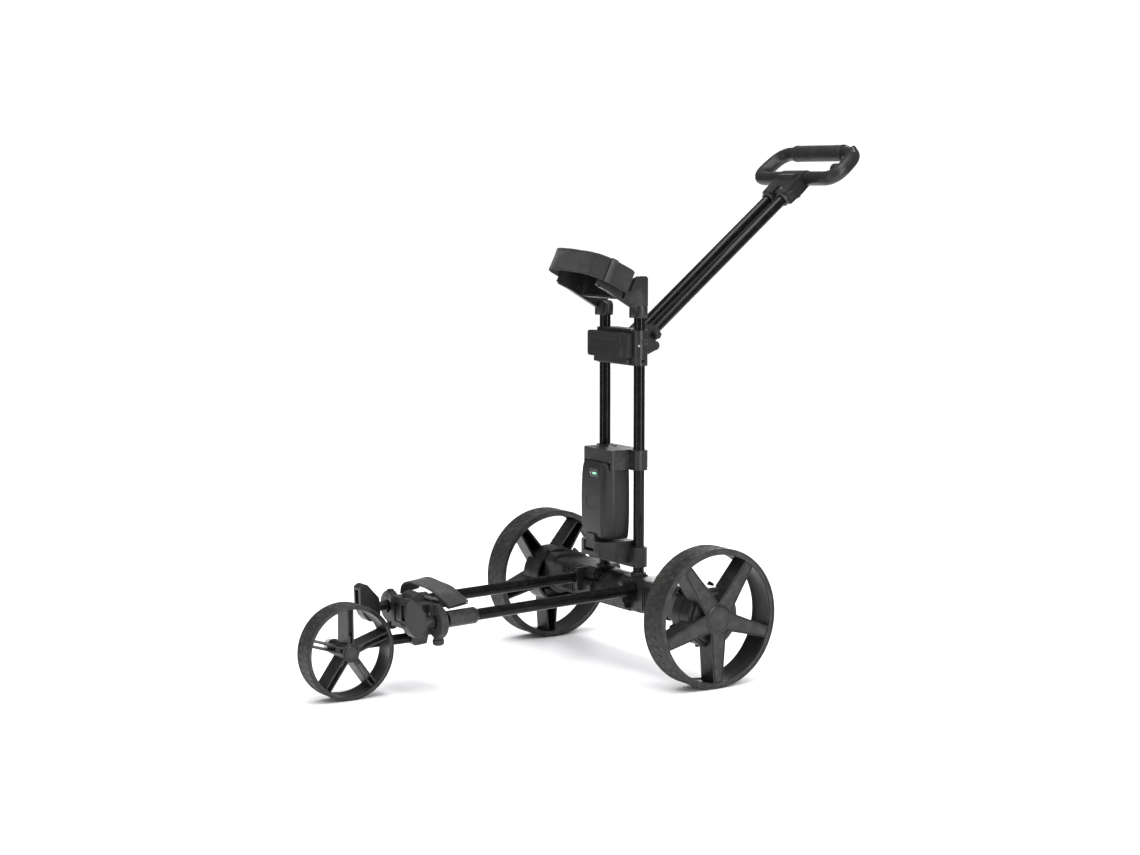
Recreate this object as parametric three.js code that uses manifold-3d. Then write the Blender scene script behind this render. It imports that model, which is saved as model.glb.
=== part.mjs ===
// Electric golf push cart, standing unfolded and empty.
// Millimetres. +Z is up, -Y is the way the cart rolls forward, +X is the cart's left.
// Inside the file the rear axle line stands over y = 0; the last lines move the cart so
// that the middle of its outline stands over the origin, with the wheels on z = 0.

import * as THREE from 'three';
import { mergeVertices } from 'three/addons/utils/BufferGeometryUtils.js';
import Module from 'manifold-3d';

const wasm = await Module();
wasm.setup();

// ---------------------------------------------------------------- driving sizes
const GAP = 0.3;                    // clearance between two pieces that touch
const RUN = 0.5;                    // clearance around anything that turns or slides
const TUBE_R = 11.1;                // every frame tube, 7/8 inch
const TUBE_WALL = 1.6;
const COARSE = 12;                  // sides of small, middling and large round shapes
const SLIM = 16;
const MIDDLING = 24;
const FINE = 40;

const REAR_R = 135;                 // rear wheels
const REAR_WIDTH = 58;
const REAR_TRACK = 570.4;
const REAR_TYRE = 4.6;              // tyre band thickness
const REAR_RIM = 5.4;
const DRUM_R = 58;
const DRUM_WALL = 5;
const DRUM_SIDES = 36;
const DRUM_PROUD = 16;              // how far the drum stands inboard of the rim
const DRUM_FLOOR = 12;              // inner face of the drum's floor, along the axle
const HUB_CAP_R = 28;
const HUB_RIDGE = 8;                // ring round the cap
const SPOKES = 5;
const SPOKE_FOOT = 19;              // half widths of a spoke at the drum and at the rim
const SPOKE_TIP = 10.5;
const DRUM_TAB_TURN = 4;            // degrees between a spoke and the drum's tab
const AXLE_R = 6;

const FRONT_R = 90;                 // front wheel
const FRONT_WIDTH = 46;
const FRONT_Y = -627.5;
const FRONT_X = -6;
const FRONT_TYRE = 3.4;
const FRONT_RIM = 3.6;
const FRONT_HUB_R = 18;
const FRONT_CAP_R = 15;
const FRONT_AXLE_R = 5;
const FIN_THICK = 2.8;              // each front spoke is two fins
const FIN_SPREAD = 5.2;

const ARM_R = 10;                   // arm that carries the front wheel on its far side
const ARM_X = FRONT_X - FRONT_WIDTH / 2 - 17;
const ARM_REAR = -478;
const BOSS_R = 15;
const BOSS_HALF = 11;
const KNOB_R = 12;
const KNOB_LONG = 21;

const RAIL_X = 91;                  // base tubes
const RAIL_Z = REAR_R + 26.6;       // height of their line above the rear axle
const RAIL_SLOPE = 0.027;
const RAIL_REAR = -30;
const RAIL_FRONT = -497;
const SLEEVE_R = TUBE_R + 4.7;
const SLEEVE_REAR = -403;
const SLEEVE_FRONT = -468;
const CLAMP_R = 31;
const CLAMP_DROP = 5;               // clamp disc's centre below the tube's line
const CLAMP_REAR = -478;
const CLAMP_FRONT = -494;
const WING_REAR = -510;
const WING_FRONT = -550;
const WING_HALF = 14.5;
const CROSS_LOW = RAIL_Z - 45.6;    // front crossmember
const CROSS_TOP = RAIL_Z + 12.4;

const BEAM_DEPTH = 84;              // rear axle housings, front to back
const BEAM_LOW = REAR_R - 20;
const BEAM_TOP = REAR_R + 46;
const BEAM_WALL = 4;
const KNUCKLE_IN = RAIL_X - TUBE_R - 3.6;
const KNUCKLE_OUT = RAIL_X + TUBE_R + 3.9;
const HOUSING_OUT = REAR_TRACK / 2 - 86.5;
const MOTOR_R = 27;
const NOSE_R = 37;                  // gearbox boss inside the drum
const BRIDGE_R = 45;                // round middle of the axle beam
const TRAY_HALF = 34;               // controller tray in the beam's underside
const TRAY_DEPTH = 28;

const MAST_OUT = KNUCKLE_IN - 1.3;  // outer faces of everything wrapped round the mast
const MAST_X = MAST_OUT - TUBE_R - 3.9;
const MAST_Y = -8.6;
const MAST_FOOT_IN = MAST_X - TUBE_R - 3.4;
const MAST_WRAP = TUBE_R + 4.4;     // half depth of those pieces
const WRAP_CORNER = 13;
const MAST_HOLE_R = TUBE_R + GAP;
const MAST_TOP = 712;
const FOLD_Y = -34;                 // mast fold pin
const FOLD_Z = REAR_R + 34;
const FOLD_PIN_R = 5;
const FOLD_HEAD_R = 8;
const FOOT_LOW = REAR_R + 21;
const FOOT_TOP = REAR_R + 49;

const DOCK_LOW = REAR_R + 64;       // battery dock
const DOCK_TOP = REAR_R + 104;
const SHELF_LOW = REAR_R + 77;
const SHELF_TOP = REAR_R + 115;
const NOTCH_LOW = REAR_R + 94;      // floor of the slot for the battery's tongue
const TONGUE_HALF = 15;
const TONGUE_X = -3;
const TONGUE_DEEP = 12;
const BATTERY_HALF = 46;            // battery pack
const BATTERY_FRONT = -83;
const BATTERY_BACK = MAST_Y - TUBE_R - 1.2;
const BATTERY_LOW = REAR_R + 119;
const BATTERY_TOP = REAR_R + 273;
const LENS_X = 10;
const LENS_HALF = 9;
const LENS_LOW = BATTERY_TOP - 25;
const LENS_HIGH = BATTERY_TOP - 19;
const HOOD_LOW = BATTERY_TOP - 15;  // hood over the pack's upper end
const HOOD_TOP = BATTERY_TOP + 25;
const HOOD_WALL = 3;
const HOOD_FRONT = BATTERY_FRONT + 13;

const BLOCK_LOW = MAST_TOP - 112;   // folding block that carries the handle
const BLOCK_TOP = MAST_TOP - 42;
const HINGE_Y = 40;                 // handle fold pin
const HINGE_Z = MAST_TOP - 75.5;
const HINGE_PIN_R = 3.5;
const LUG_IN = 38.8;
const LUG_OUT = 48;
const LUG_R = 9;
const COVER_BACK = MAST_Y - MAST_WRAP - GAP;
const COVER_DEEP = 11;
const COVER_RIGHT = MAST_OUT + 9;   // the cover stands further out on the right side
const COVER_LEFT = MAST_OUT - 18;

const CRADLE_LOW = MAST_TOP - 18;   // upper bag cradle
const CRADLE_COLLAR_TOP = MAST_TOP + 11;
const CRADLE_WING_TOP = MAST_TOP + 64;
const CRADLE_TILT = 25;             // degrees the bag ring rises toward the front
const CRADLE_Y = -57;
const CRADLE_Z = MAST_TOP + 22;
const RING_HALF = MAST_OUT;
const RING_DEPTH = 92;
const BAND_LOW = 12;
const BAND_HIGH = 56;
const BAND_THICK = 3.6;
const STRAP_CORNER = 20;
const SADDLE_THICK = 6;
const SADDLE_HIGH = 50;
const SADDLE_CORNER = 24;

const HANDLE_TILT = 38.5;           // degrees above level
const HANDLE_X = 22.5;
const HANDLE_RISE = TUBE_R + HINGE_PIN_R + 0.6; // tube line above the hinge pin
const HANDLE_TUBE_START = -8;
const HANDLE_TUBE_END = 476;
const SOCKET_HALF = 41;             // socket between the tubes and the loop
const SOCKET_START = 445;
const LOOP_HALF = 120;              // hand loop, to the tube's line
const LOOP_NEAR = 510;              // front bar, along the handle
const LOOP_FAR = 594;               // grip bar
const LOOP_R = 13;
const CORE_R = 10;
const GRIP_R = 17.2;
const GRIP_HALF = 88;
const DIAL_R = 11;
const BUTTON_R = 6;

// ------------------------------------------------------------------- materials
function paint(color, roughness, metalness) {
  return new THREE.MeshStandardMaterial({ color, roughness, metalness });
}
const moulded = () => paint(0x2b2b2d, 0.6, 0.0);
const gloss = () => paint(0x0c0c0d, 0.22, 0.6);
const rubber = () => paint(0x1f1e1d, 0.85, 0.0);
const steel = () => paint(0xa9abae, 0.35, 1.0);
const webbing = () => paint(0x17171a, 0.95, 0.0);
const paleNylon = () => paint(0xcfcfc8, 0.5, 0.0);
const greenLens = () => paint(0x39d67a, 0.3, 0.0);

// -------------------------------------------------------------- solid geometry
const X_AXIS = new THREE.Matrix4().makeBasis(
  new THREE.Vector3(0, 1, 0), new THREE.Vector3(0, 0, 1), new THREE.Vector3(1, 0, 0));

function signedVolume(geometry) {
  const index = geometry.index;
  const place = geometry.attributes.position;
  const a = new THREE.Vector3();
  const b = new THREE.Vector3();
  const c = new THREE.Vector3();
  let six = 0;
  for (let i = 0; i < index.count; i += 3) {
    a.fromBufferAttribute(place, index.getX(i));
    b.fromBufferAttribute(place, index.getX(i + 1));
    c.fromBufferAttribute(place, index.getX(i + 2));
    six += a.dot(b.cross(c));
  }
  return six / 6;
}

// A three.js geometry as a manifold solid, with its faces turned outward.
function solid(geometry) {
  geometry.deleteAttribute('normal');
  geometry.deleteAttribute('uv');
  const merged = mergeVertices(geometry, 1e-4);
  const flip = signedVolume(merged) < 0;
  const triangles = Uint32Array.from(merged.index.array);
  if (flip) {
    for (let i = 0; i < triangles.length; i += 3) {
      [triangles[i], triangles[i + 1]] = [triangles[i + 1], triangles[i]];
    }
  }
  return new wasm.Manifold(new wasm.Mesh({
    numProp: 3,
    vertProperties: Float32Array.from(merged.attributes.position.array),
    triVerts: triangles,
  }));
}

function geometryOf(manifold) {
  const mesh = manifold.getMesh();
  const geometry = new THREE.BufferGeometry();
  geometry.setAttribute('position', new THREE.BufferAttribute(mesh.vertProperties, 3));
  geometry.setIndex(new THREE.BufferAttribute(mesh.triVerts, 1));
  geometry.computeVertexNormals();
  return geometry;
}

// Box from its lowest and highest corners.
function block(x0, x1, y0, y1, z0, z1) {
  const geometry = new THREE.BoxGeometry(x1 - x0, y1 - y0, z1 - z0);
  geometry.translate((x0 + x1) / 2, (y0 + y1) / 2, (z0 + z1) / 2);
  return solid(geometry);
}

// Round bar along X, Y or Z between two positions on that axis; u and v place its line.
function bar(axis, radius, from, to, u, v, sides = MIDDLING) {
  const geometry = new THREE.CylinderGeometry(radius, radius, to - from, sides);
  const middle = (from + to) / 2;
  if (axis === 'x') geometry.rotateZ(Math.PI / 2).translate(middle, u, v);
  if (axis === 'y') geometry.translate(u, middle, v);
  if (axis === 'z') geometry.rotateX(Math.PI / 2).translate(u, v, middle);
  return solid(geometry);
}

// Outline in (y, z), extruded along X from x0 to x1.
function slab(shape, x0, x1, curveSegments = 4) {
  const geometry = new THREE.ExtrudeGeometry(shape,
    { depth: x1 - x0, bevelEnabled: false, curveSegments });
  geometry.applyMatrix4(X_AXIS).translate(x0, 0, 0);
  return solid(geometry);
}

// Outline in (x, y), extruded upward from z0 to z1.
function layer(shape, z0, z1, curveSegments = 4) {
  const geometry = new THREE.ExtrudeGeometry(shape,
    { depth: z1 - z0, bevelEnabled: false, curveSegments });
  geometry.translate(0, 0, z0);
  return solid(geometry);
}

// Profile of [radius, x] points turned round the X axis.
function turned(profile, sides) {
  const points = profile.map(([radius, x]) => new THREE.Vector2(radius, x));
  const geometry = new THREE.LatheGeometry(points, sides);
  geometry.rotateZ(-Math.PI / 2);
  return solid(geometry);
}

function roundedRect(u0, u1, v0, v1, radius) {
  const shape = new THREE.Shape();
  shape.moveTo(u0 + radius, v0);
  shape.lineTo(u1 - radius, v0);
  shape.absarc(u1 - radius, v0 + radius, radius, -Math.PI / 2, 0);
  shape.lineTo(u1, v1 - radius);
  shape.absarc(u1 - radius, v1 - radius, radius, 0, Math.PI / 2);
  shape.lineTo(u0 + radius, v1);
  shape.absarc(u0 + radius, v1 - radius, radius, Math.PI / 2, Math.PI);
  shape.lineTo(u0, v0 + radius);
  shape.absarc(u0 + radius, v0 + radius, radius, Math.PI, Math.PI * 1.5);
  return shape;
}

function polygon(points) {
  return new THREE.Shape(points.map(([u, v]) => new THREE.Vector2(u, v)));
}

function union(first, ...rest) {
  return rest.reduce((sum, piece) => sum.add(piece), first);
}

function cut(first, ...rest) {
  return rest.reduce((sum, piece) => sum.subtract(piece), first);
}

function put(group, name, manifold, material) {
  const mesh = new THREE.Mesh(geometryOf(manifold), material);
  mesh.name = name;
  group.add(mesh);
  return mesh;
}

const degrees = THREE.MathUtils.degToRad;
const SIDES = [['left', 1], ['right', -1]];

// Mirrors an x interval to the side given by sign, lowest value first.
function span(sign, inner, outer) {
  return sign > 0 ? [inner, outer] : [-outer, -inner];
}

const cart = new THREE.Group();

// ------------------------------------------------------------------ rear wheels
// Built round the X axis with the outer face toward +X.
function rearWheelBody() {
  const half = REAR_WIDTH / 2;
  const rimOuter = REAR_R - REAR_TYRE - GAP;
  const rimInner = rimOuter - REAR_RIM;
  const faceX = half - 1;
  const drumEnd = -half - DRUM_PROUD;
  const rim = turned([[rimInner, -half + 0.7], [rimOuter, -half + 0.7],
    [rimOuter, half - 0.7], [rimInner, half - 0.7], [rimInner, -half + 0.7]], FINE);
  const floorIn = DRUM_FLOOR - DRUM_WALL;
  const drumIn = DRUM_R - DRUM_WALL;
  const drum = turned([[drumIn, drumEnd], [DRUM_R, drumEnd], [DRUM_R, DRUM_FLOOR + 4],
    [0, DRUM_FLOOR + 4], [0, floorIn], [drumIn, floorIn], [drumIn, drumEnd]], DRUM_SIDES);
  const hub = bar('x', HUB_CAP_R + HUB_RIDGE, DRUM_FLOOR - 1, faceX, 0, 0);
  const nose = bar('x', BOSS_R, -AXLE_R, DRUM_FLOOR, 0, 0);
  let wheel = union(rim, drum, hub, nose);
  const channelEnd = rimInner - 2;
  const channelFoot = SPOKE_FOOT - 7.5;
  const channelTip = SPOKE_TIP - 4;
  const spoke = slab(polygon([[-SPOKE_FOOT, 14], [SPOKE_FOOT, 14],
    [SPOKE_TIP, rimInner + 1.5], [-SPOKE_TIP, rimInner + 1.5]]), -12, faceX);
  const channel = slab(polygon([[-channelFoot, DRUM_R + 3], [channelFoot, DRUM_R + 3],
    [channelTip, channelEnd], [-channelTip, channelEnd]]), -13, faceX - 4);
  const tab = block(drumEnd, drumEnd + 6, -8, 8, DRUM_R - 3, DRUM_R + 10);
  for (let i = 0; i < SPOKES; i += 1) {
    const turn = 180 + (360 / SPOKES) * i;
    wheel = wheel.add(spoke.rotate([turn, 0, 0]));
    wheel = wheel.subtract(channel.rotate([turn, 0, 0]));
    wheel = wheel.add(tab.rotate([turn + DRUM_TAB_TURN, 0, 0]));
  }
  const cavity = bar('x', drumIn, drumEnd - 1, floorIn, 0, 0, DRUM_SIDES);
  const keep = bar('x', BOSS_R, -AXLE_R, DRUM_FLOOR, 0, 0);
  wheel = wheel.subtract(cavity.subtract(keep));
  const capSeat = bar('x', HUB_CAP_R + GAP, faceX - 3, faceX + 2, 0, 0);
  const bore = bar('x', AXLE_R + GAP, -10, faceX, 0, 0, COARSE);
  return cut(wheel, capSeat, bore);
}

function rearTyreBody() {
  const half = REAR_WIDTH / 2;
  const inner = REAR_R - REAR_TYRE;
  return turned([[inner, -half], [REAR_R - 1.2, -half], [REAR_R, -half + 3],
    [REAR_R, half - 3], [REAR_R - 1.2, half], [inner, half], [inner, -half]], FINE);
}

function capBody(radius, base, thick, sides) {
  return turned([[0, base], [radius, base], [radius, base + thick * 0.55],
    [radius - 2.5, base + thick], [0, base + thick]], sides);
}

function buildRearWheel(side, sign) {
  const wheel = new THREE.Group();
  wheel.position.set(sign * REAR_TRACK / 2, 0, REAR_R);
  wheel.rotation.z = sign > 0 ? 0 : Math.PI;
  cart.add(wheel);
  const faceX = REAR_WIDTH / 2 - 1;
  put(wheel, `${side}_rear_tyre`, rearTyreBody(), rubber());
  put(wheel, `${side}_rear_wheel`, rearWheelBody(), moulded());
  put(wheel, `${side}_hub_cap`, capBody(HUB_CAP_R, faceX - 3 + GAP, 3.7, MIDDLING), moulded());
  const inboard = -(REAR_TRACK / 2 - HOUSING_OUT) + 6;
  put(wheel, `${side}_axle_shaft`, bar('x', AXLE_R, inboard, faceX - 4, 0, 0, COARSE), steel());
}

// ------------------------------------------------------------------ front wheel
function frontWheelBody() {
  const half = FRONT_WIDTH / 2;
  const rimOuter = FRONT_R - FRONT_TYRE - GAP;
  const rimInner = rimOuter - FRONT_RIM;
  const rim = turned([[rimInner, -half + 0.5], [rimOuter, -half + 0.5],
    [rimOuter, half - 0.5], [rimInner, half - 0.5], [rimInner, -half + 0.5]], FINE);
  const hub = bar('x', FRONT_HUB_R, -half + 1, half - 1, 0, 0);
  let wheel = union(rim, hub);
  for (let i = 0; i < SPOKES; i += 1) {
    const turn = (360 / SPOKES) * i;
    for (const side of [-1, 1]) {
      const y = side * FIN_SPREAD;
      const blade = block(-half + 3, half - 3, y - FIN_THICK / 2, y + FIN_THICK / 2,
        12, rimInner + 1);
      wheel = wheel.add(blade.rotate([turn, 0, 0]));
    }
    const web = block(-half + 8, half - 8, -FIN_SPREAD, FIN_SPREAD, 14, 34);
    wheel = wheel.add(web.rotate([turn, 0, 0]));
  }
  const capSeat = bar('x', FRONT_CAP_R + GAP, half - 4, half + 1, 0, 0);
  const bore = bar('x', FRONT_AXLE_R + RUN, -half - 1, half - 4, 0, 0, COARSE);
  return cut(wheel, capSeat, bore);
}

function frontTyreBody() {
  const half = FRONT_WIDTH / 2;
  const inner = FRONT_R - FRONT_TYRE;
  return turned([[inner, -half], [FRONT_R - 1, -half], [FRONT_R, -half + 2.5],
    [FRONT_R, half - 2.5], [FRONT_R - 1, half], [inner, half], [inner, -half]], FINE);
}

function buildFrontWheel() {
  const wheel = new THREE.Group();
  wheel.position.set(FRONT_X, FRONT_Y, FRONT_R);
  cart.add(wheel);
  const half = FRONT_WIDTH / 2;
  put(wheel, 'front_tyre', frontTyreBody(), rubber());
  put(wheel, 'front_wheel', frontWheelBody(), moulded());
  put(wheel, 'front_hub_cap', capBody(FRONT_CAP_R, half - 4 + GAP, 4.6, MIDDLING), moulded());
}

function buildFrontArm() {
  const boss = bar('x', BOSS_R, ARM_X - BOSS_HALF, ARM_X + BOSS_HALF, FRONT_Y, FRONT_R);
  const tube = bar('y', ARM_R, FRONT_Y, ARM_REAR, ARM_X, FRONT_R);
  const axleHole = bar('x', FRONT_AXLE_R + GAP, ARM_X - 40, ARM_X + 40, FRONT_Y, FRONT_R, COARSE);
  put(cart, 'front_wheel_arm', cut(boss.add(tube), axleHole), gloss());
  const axleEnd = FRONT_X + FRONT_WIDTH / 2 - 6;
  const nutFace = ARM_X - BOSS_HALF - GAP;
  const axle = bar('x', FRONT_AXLE_R, nutFace - 12, axleEnd, FRONT_Y, FRONT_R, COARSE);
  put(cart, 'front_axle', axle, steel());
  const nut = bar('x', KNOB_R, nutFace - KNOB_LONG, nutFace, FRONT_Y, FRONT_R, COARSE);
  const nutHole = bar('x', FRONT_AXLE_R + GAP, nutFace - 13, nutFace + 1, FRONT_Y, FRONT_R, COARSE);
  put(cart, 'front_axle_knob', cut(nut, nutHole), paleNylon());
}

// -------------------------------------------------------------- rear axle beam
function beamProfile(low, top, depth, radius) {
  return roundedRect(-depth / 2, depth / 2, low, top, radius);
}

function buildAxleBridge() {
  const reach = KNUCKLE_IN - GAP;
  const pocketIn = MAST_FOOT_IN - 6.5;
  const round = bar('x', BRIDGE_R, -reach, reach, 0, REAR_R, FINE);
  const trim = block(-reach - 1, reach + 1, -60, 60, REAR_R - 2 * BRIDGE_R, BEAM_LOW);
  const pocketTop = FOOT_LOW - RUN;
  let bridge = round.subtract(trim);
  for (const [, sign] of SIDES) {
    const [x0, x1] = span(sign, pocketIn, reach + 1);
    bridge = bridge.subtract(block(x0, x1, -60, 8, pocketTop, REAR_R + 2 * BRIDGE_R));
  }
  const tray = block(-TRAY_HALF, TRAY_HALF, -TRAY_DEPTH, TRAY_DEPTH, BEAM_LOW - 1, BEAM_LOW + 26);
  put(cart, 'axle_bridge', bridge.subtract(tray), moulded());
  const board = block(-TRAY_HALF + 3, TRAY_HALF - 3, -TRAY_DEPTH + 3, TRAY_DEPTH - 3,
    BEAM_LOW + 4, BEAM_LOW + 20);
  put(cart, 'motor_controller', board, moulded());
}

function buildKnuckle(side, sign) {
  const [x0, x1] = span(sign, KNUCKLE_IN, KNUCKLE_OUT);
  const body = slab(beamProfile(BEAM_LOW, BEAM_TOP, BEAM_DEPTH, 9), x0, x1);
  const [c0, c1] = span(sign, KNUCKLE_IN, KNUCKLE_IN + 10);
  const cheek = slab(roundedRect(-65, -20, REAR_R - 1, BEAM_TOP, 6), c0, c1);
  const slope = THREE.MathUtils.radToDeg(Math.atan(RAIL_SLOPE));
  const socket = bar('y', TUBE_R + GAP, -90, RAIL_REAR + GAP, 0, 0)
    .rotate([slope, 0, 0]).translate([sign * RAIL_X, 0, RAIL_Z]);
  const [p0, p1] = span(sign, KNUCKLE_IN - 5, RAIL_X - TUBE_R - 0.4);
  const pinHole = bar('x', FOLD_PIN_R + GAP, p0, p1, FOLD_Y, FOLD_Z, COARSE);
  put(cart, `${side}_frame_knuckle`, cut(body.add(cheek), socket, pinHole), moulded());
  const [q0, q1] = span(sign, MAST_FOOT_IN - 1.2, RAIL_X - TUBE_R - 0.8);
  const [h0, h1] = span(sign, MAST_FOOT_IN - 4.8, MAST_FOOT_IN - 0.8);
  const pin = bar('x', FOLD_PIN_R, q0, q1, FOLD_Y, FOLD_Z, COARSE);
  const head = bar('x', FOLD_HEAD_R, h0, h1, FOLD_Y, FOLD_Z, COARSE);
  put(cart, `${side}_fold_pin`, pin.add(head), steel());
}

function buildAxleHalf(side, sign) {
  const [x0, x1] = span(sign, KNUCKLE_OUT + GAP, HOUSING_OUT);
  const outer = slab(beamProfile(BEAM_LOW, BEAM_TOP, BEAM_DEPTH, 14), x0, x1);
  const inner = slab(beamProfile(BEAM_LOW + BEAM_WALL, BEAM_TOP - BEAM_WALL,
    BEAM_DEPTH - 2 * BEAM_WALL, 10), x0 - 1, x1 + 1);
  put(cart, `${side}_motor_housing`, outer.subtract(inner), moulded());
  const motorZ = (BEAM_LOW + BEAM_TOP) / 2;
  const [m0, m1] = span(sign, KNUCKLE_OUT + 4, HOUSING_OUT - 6);
  put(cart, `${side}_motor`, bar('x', MOTOR_R, m0, m1, 0, motorZ), steel());

  const gearIn = HOUSING_OUT + GAP;
  const drumIn = REAR_TRACK / 2 - REAR_WIDTH / 2 - DRUM_PROUD;
  const [g0, g1] = span(sign, gearIn, drumIn - 6);
  const [n0, n1] = span(sign, drumIn - 8, REAR_TRACK / 2 - 14);
  const box = slab(beamProfile(BEAM_LOW, BEAM_TOP + 6, BEAM_DEPTH, 18), g0, g1);
  const nose = bar('x', NOSE_R, n0, n1, 0, REAR_R);
  const [s0, s1] = span(sign, gearIn - 1, REAR_TRACK / 2);
  const bore = bar('x', AXLE_R + RUN, s0, s1, 0, REAR_R, COARSE);
  put(cart, `${side}_gearbox`, cut(box.add(nose), bore), moulded());
}

// ------------------------------------------------------------------- base rails
// Everything on a rail is built in the rail's own line: local y runs along the tube.
function buildRail(side, sign) {
  const rail = new THREE.Group();
  rail.position.set(sign * RAIL_X, 0, RAIL_Z);
  rail.rotation.x = Math.atan(RAIL_SLOPE);
  cart.add(rail);

  const tube = bar('y', TUBE_R, RAIL_FRONT, RAIL_REAR, 0, 0);
  const hollow = bar('y', TUBE_R - TUBE_WALL, RAIL_FRONT - 1, RAIL_REAR + 1, 0, 0, SLIM);
  put(rail, `${side}_base_tube`, tube.subtract(hollow), gloss());

  const tubeHole = bar('y', TUBE_R + GAP, -540, -380, 0, 0);
  const sleeve = bar('y', SLEEVE_R, SLEEVE_FRONT, SLEEVE_REAR, 0, 0);
  put(rail, `${side}_front_sleeve`, sleeve.subtract(tubeHole), moulded());

  const middle = (CLAMP_FRONT + CLAMP_REAR) / 2;
  const bottom = -CLAMP_DROP - CLAMP_R;
  const disc = bar('y', CLAMP_R, CLAMP_FRONT, CLAMP_REAR, 0, -CLAMP_DROP, 32);
  const stub = bar('z', 7.5, 10, CLAMP_R, 0, middle, SLIM);
  const knob = bar('z', 11, bottom - 10, bottom + 4, 0, middle, SLIM);
  put(rail, `${side}_front_clamp`, cut(union(disc, stub, knob), tubeHole), moulded());

  const outline = polygon([[WING_FRONT, 44], [WING_FRONT + 8, 49], [WING_FRONT + 16, 49],
    [WING_REAR - 2, 20], [WING_REAR, -12], [WING_REAR - 10, -20], [WING_REAR - 28, -21],
    [WING_FRONT + 7, -10], [WING_FRONT, 4]]);
  const shield = slab(outline, -WING_HALF, WING_HALF);
  const slot = block(-8, 5, WING_FRONT - 5, WING_FRONT + 14, 10, 38);
  const neck = bar('y', 9, WING_REAR - 2, WING_REAR + 12, 0, 0, SLIM);
  put(rail, `${side}_bag_wing`, cut(shield, slot).add(neck), moulded());
}

function buildCrossmember() {
  const half = RAIL_X - CLAMP_R - GAP;
  const front = CLAMP_FRONT - 8;
  const rear = CLAMP_REAR + 6;
  const beam = block(-half, half, front, rear, CROSS_LOW, CROSS_TOP);
  const pocket = block(-half + 12, half - 12, front - 1, front + 18, CROSS_LOW + 10, CROSS_TOP - 14);
  const foot = block(ARM_X - BOSS_R, ARM_X + BOSS_R, front, rear, FRONT_R - ARM_R - 4,
    CROSS_LOW + 1);
  const armHole = bar('y', ARM_R + GAP, front - 20, ARM_REAR + GAP, ARM_X, FRONT_R);
  const body = cut(union(beam, foot), pocket, armHole);
  put(cart, 'front_crossmember', body, moulded());
}

// Webbing arched over the rails, thickest where it doubles back at each end.
function buildLowerStrap() {
  const end = RAIL_X - 7;
  const front = -462;
  const rear = -418;
  const thick = 3.2;
  const footZ = RAIL_Z + 6.4;
  const crest = RAIL_Z + 48.4;
  const shape = new THREE.Shape();
  shape.moveTo(-end, footZ);
  shape.quadraticCurveTo(0, 2 * crest - footZ, end, footZ);
  shape.lineTo(end - 5, footZ - 1);
  shape.quadraticCurveTo(0, 2 * (crest - thick) - footZ, -end + 5, footZ - 1);
  const geometry = new THREE.ExtrudeGeometry(shape,
    { depth: rear - front, bevelEnabled: false, curveSegments: 14 });
  geometry.rotateX(Math.PI / 2).translate(0, rear, 0);
  put(cart, 'lower_strap', solid(geometry), webbing());
}

// ------------------------------------------------------------------------- mast
const mast = new THREE.Group();
cart.add(mast);

function wrapOutline() {
  return roundedRect(-MAST_OUT, MAST_OUT, MAST_Y - MAST_WRAP, MAST_Y + MAST_WRAP, WRAP_CORNER);
}

function mastHoles(low, top) {
  return SIDES.map(([, sign]) => bar('z', MAST_HOLE_R, low, top, sign * MAST_X, MAST_Y));
}

function buildMastTube(side, sign) {
  const low = FOOT_LOW + 6;
  const tube = bar('z', TUBE_R, low, MAST_TOP, sign * MAST_X, MAST_Y);
  const hollow = bar('z', TUBE_R - TUBE_WALL, low - 1, MAST_TOP + 1, sign * MAST_X, MAST_Y, SLIM);
  put(mast, `${side}_mast_tube`, tube.subtract(hollow), gloss());
}

function buildMastFoot(side, sign) {
  const lobe = FOLD_Z - FOOT_LOW;
  const rear = MAST_Y + MAST_WRAP - 3;
  const shape = new THREE.Shape();
  shape.moveTo(rear, FOOT_LOW);
  shape.lineTo(rear, FOOT_TOP);
  shape.lineTo(FOLD_Y - 4, FOOT_TOP);
  shape.lineTo(FOLD_Y - lobe, FOLD_Z + 3);
  shape.lineTo(FOLD_Y - lobe, FOLD_Z);
  shape.absarc(FOLD_Y, FOLD_Z, lobe, Math.PI, Math.PI * 1.5);
  const [x0, x1] = span(sign, MAST_FOOT_IN, MAST_OUT);
  const body = slab(shape, x0, x1);
  const hole = bar('z', MAST_HOLE_R, FOOT_LOW + 6 - GAP, FOOT_TOP + 1, sign * MAST_X, MAST_Y);
  const pinHole = bar('x', FOLD_PIN_R + GAP, x0 - 1, x1 + 1, FOLD_Y, FOLD_Z, COARSE);
  put(mast, `${side}_mast_foot`, cut(body, hole, pinHole), moulded());
}

function buildDock() {
  const band = layer(wrapOutline(), DOCK_LOW, DOCK_TOP);
  const shelf = block(-BATTERY_HALF - 2, BATTERY_HALF + 2, BATTERY_FRONT - 1, MAST_Y,
    SHELF_LOW, SHELF_TOP);
  const notch = block(TONGUE_X - TONGUE_HALF - RUN, TONGUE_X + TONGUE_HALF + RUN,
    BATTERY_FRONT - 5, BATTERY_FRONT + TONGUE_DEEP + RUN, NOTCH_LOW, SHELF_TOP + 1);
  const dock = cut(union(band, shelf), notch, ...mastHoles(DOCK_LOW - 1, DOCK_TOP + 20));
  put(mast, 'battery_dock', dock, moulded());
}

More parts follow.
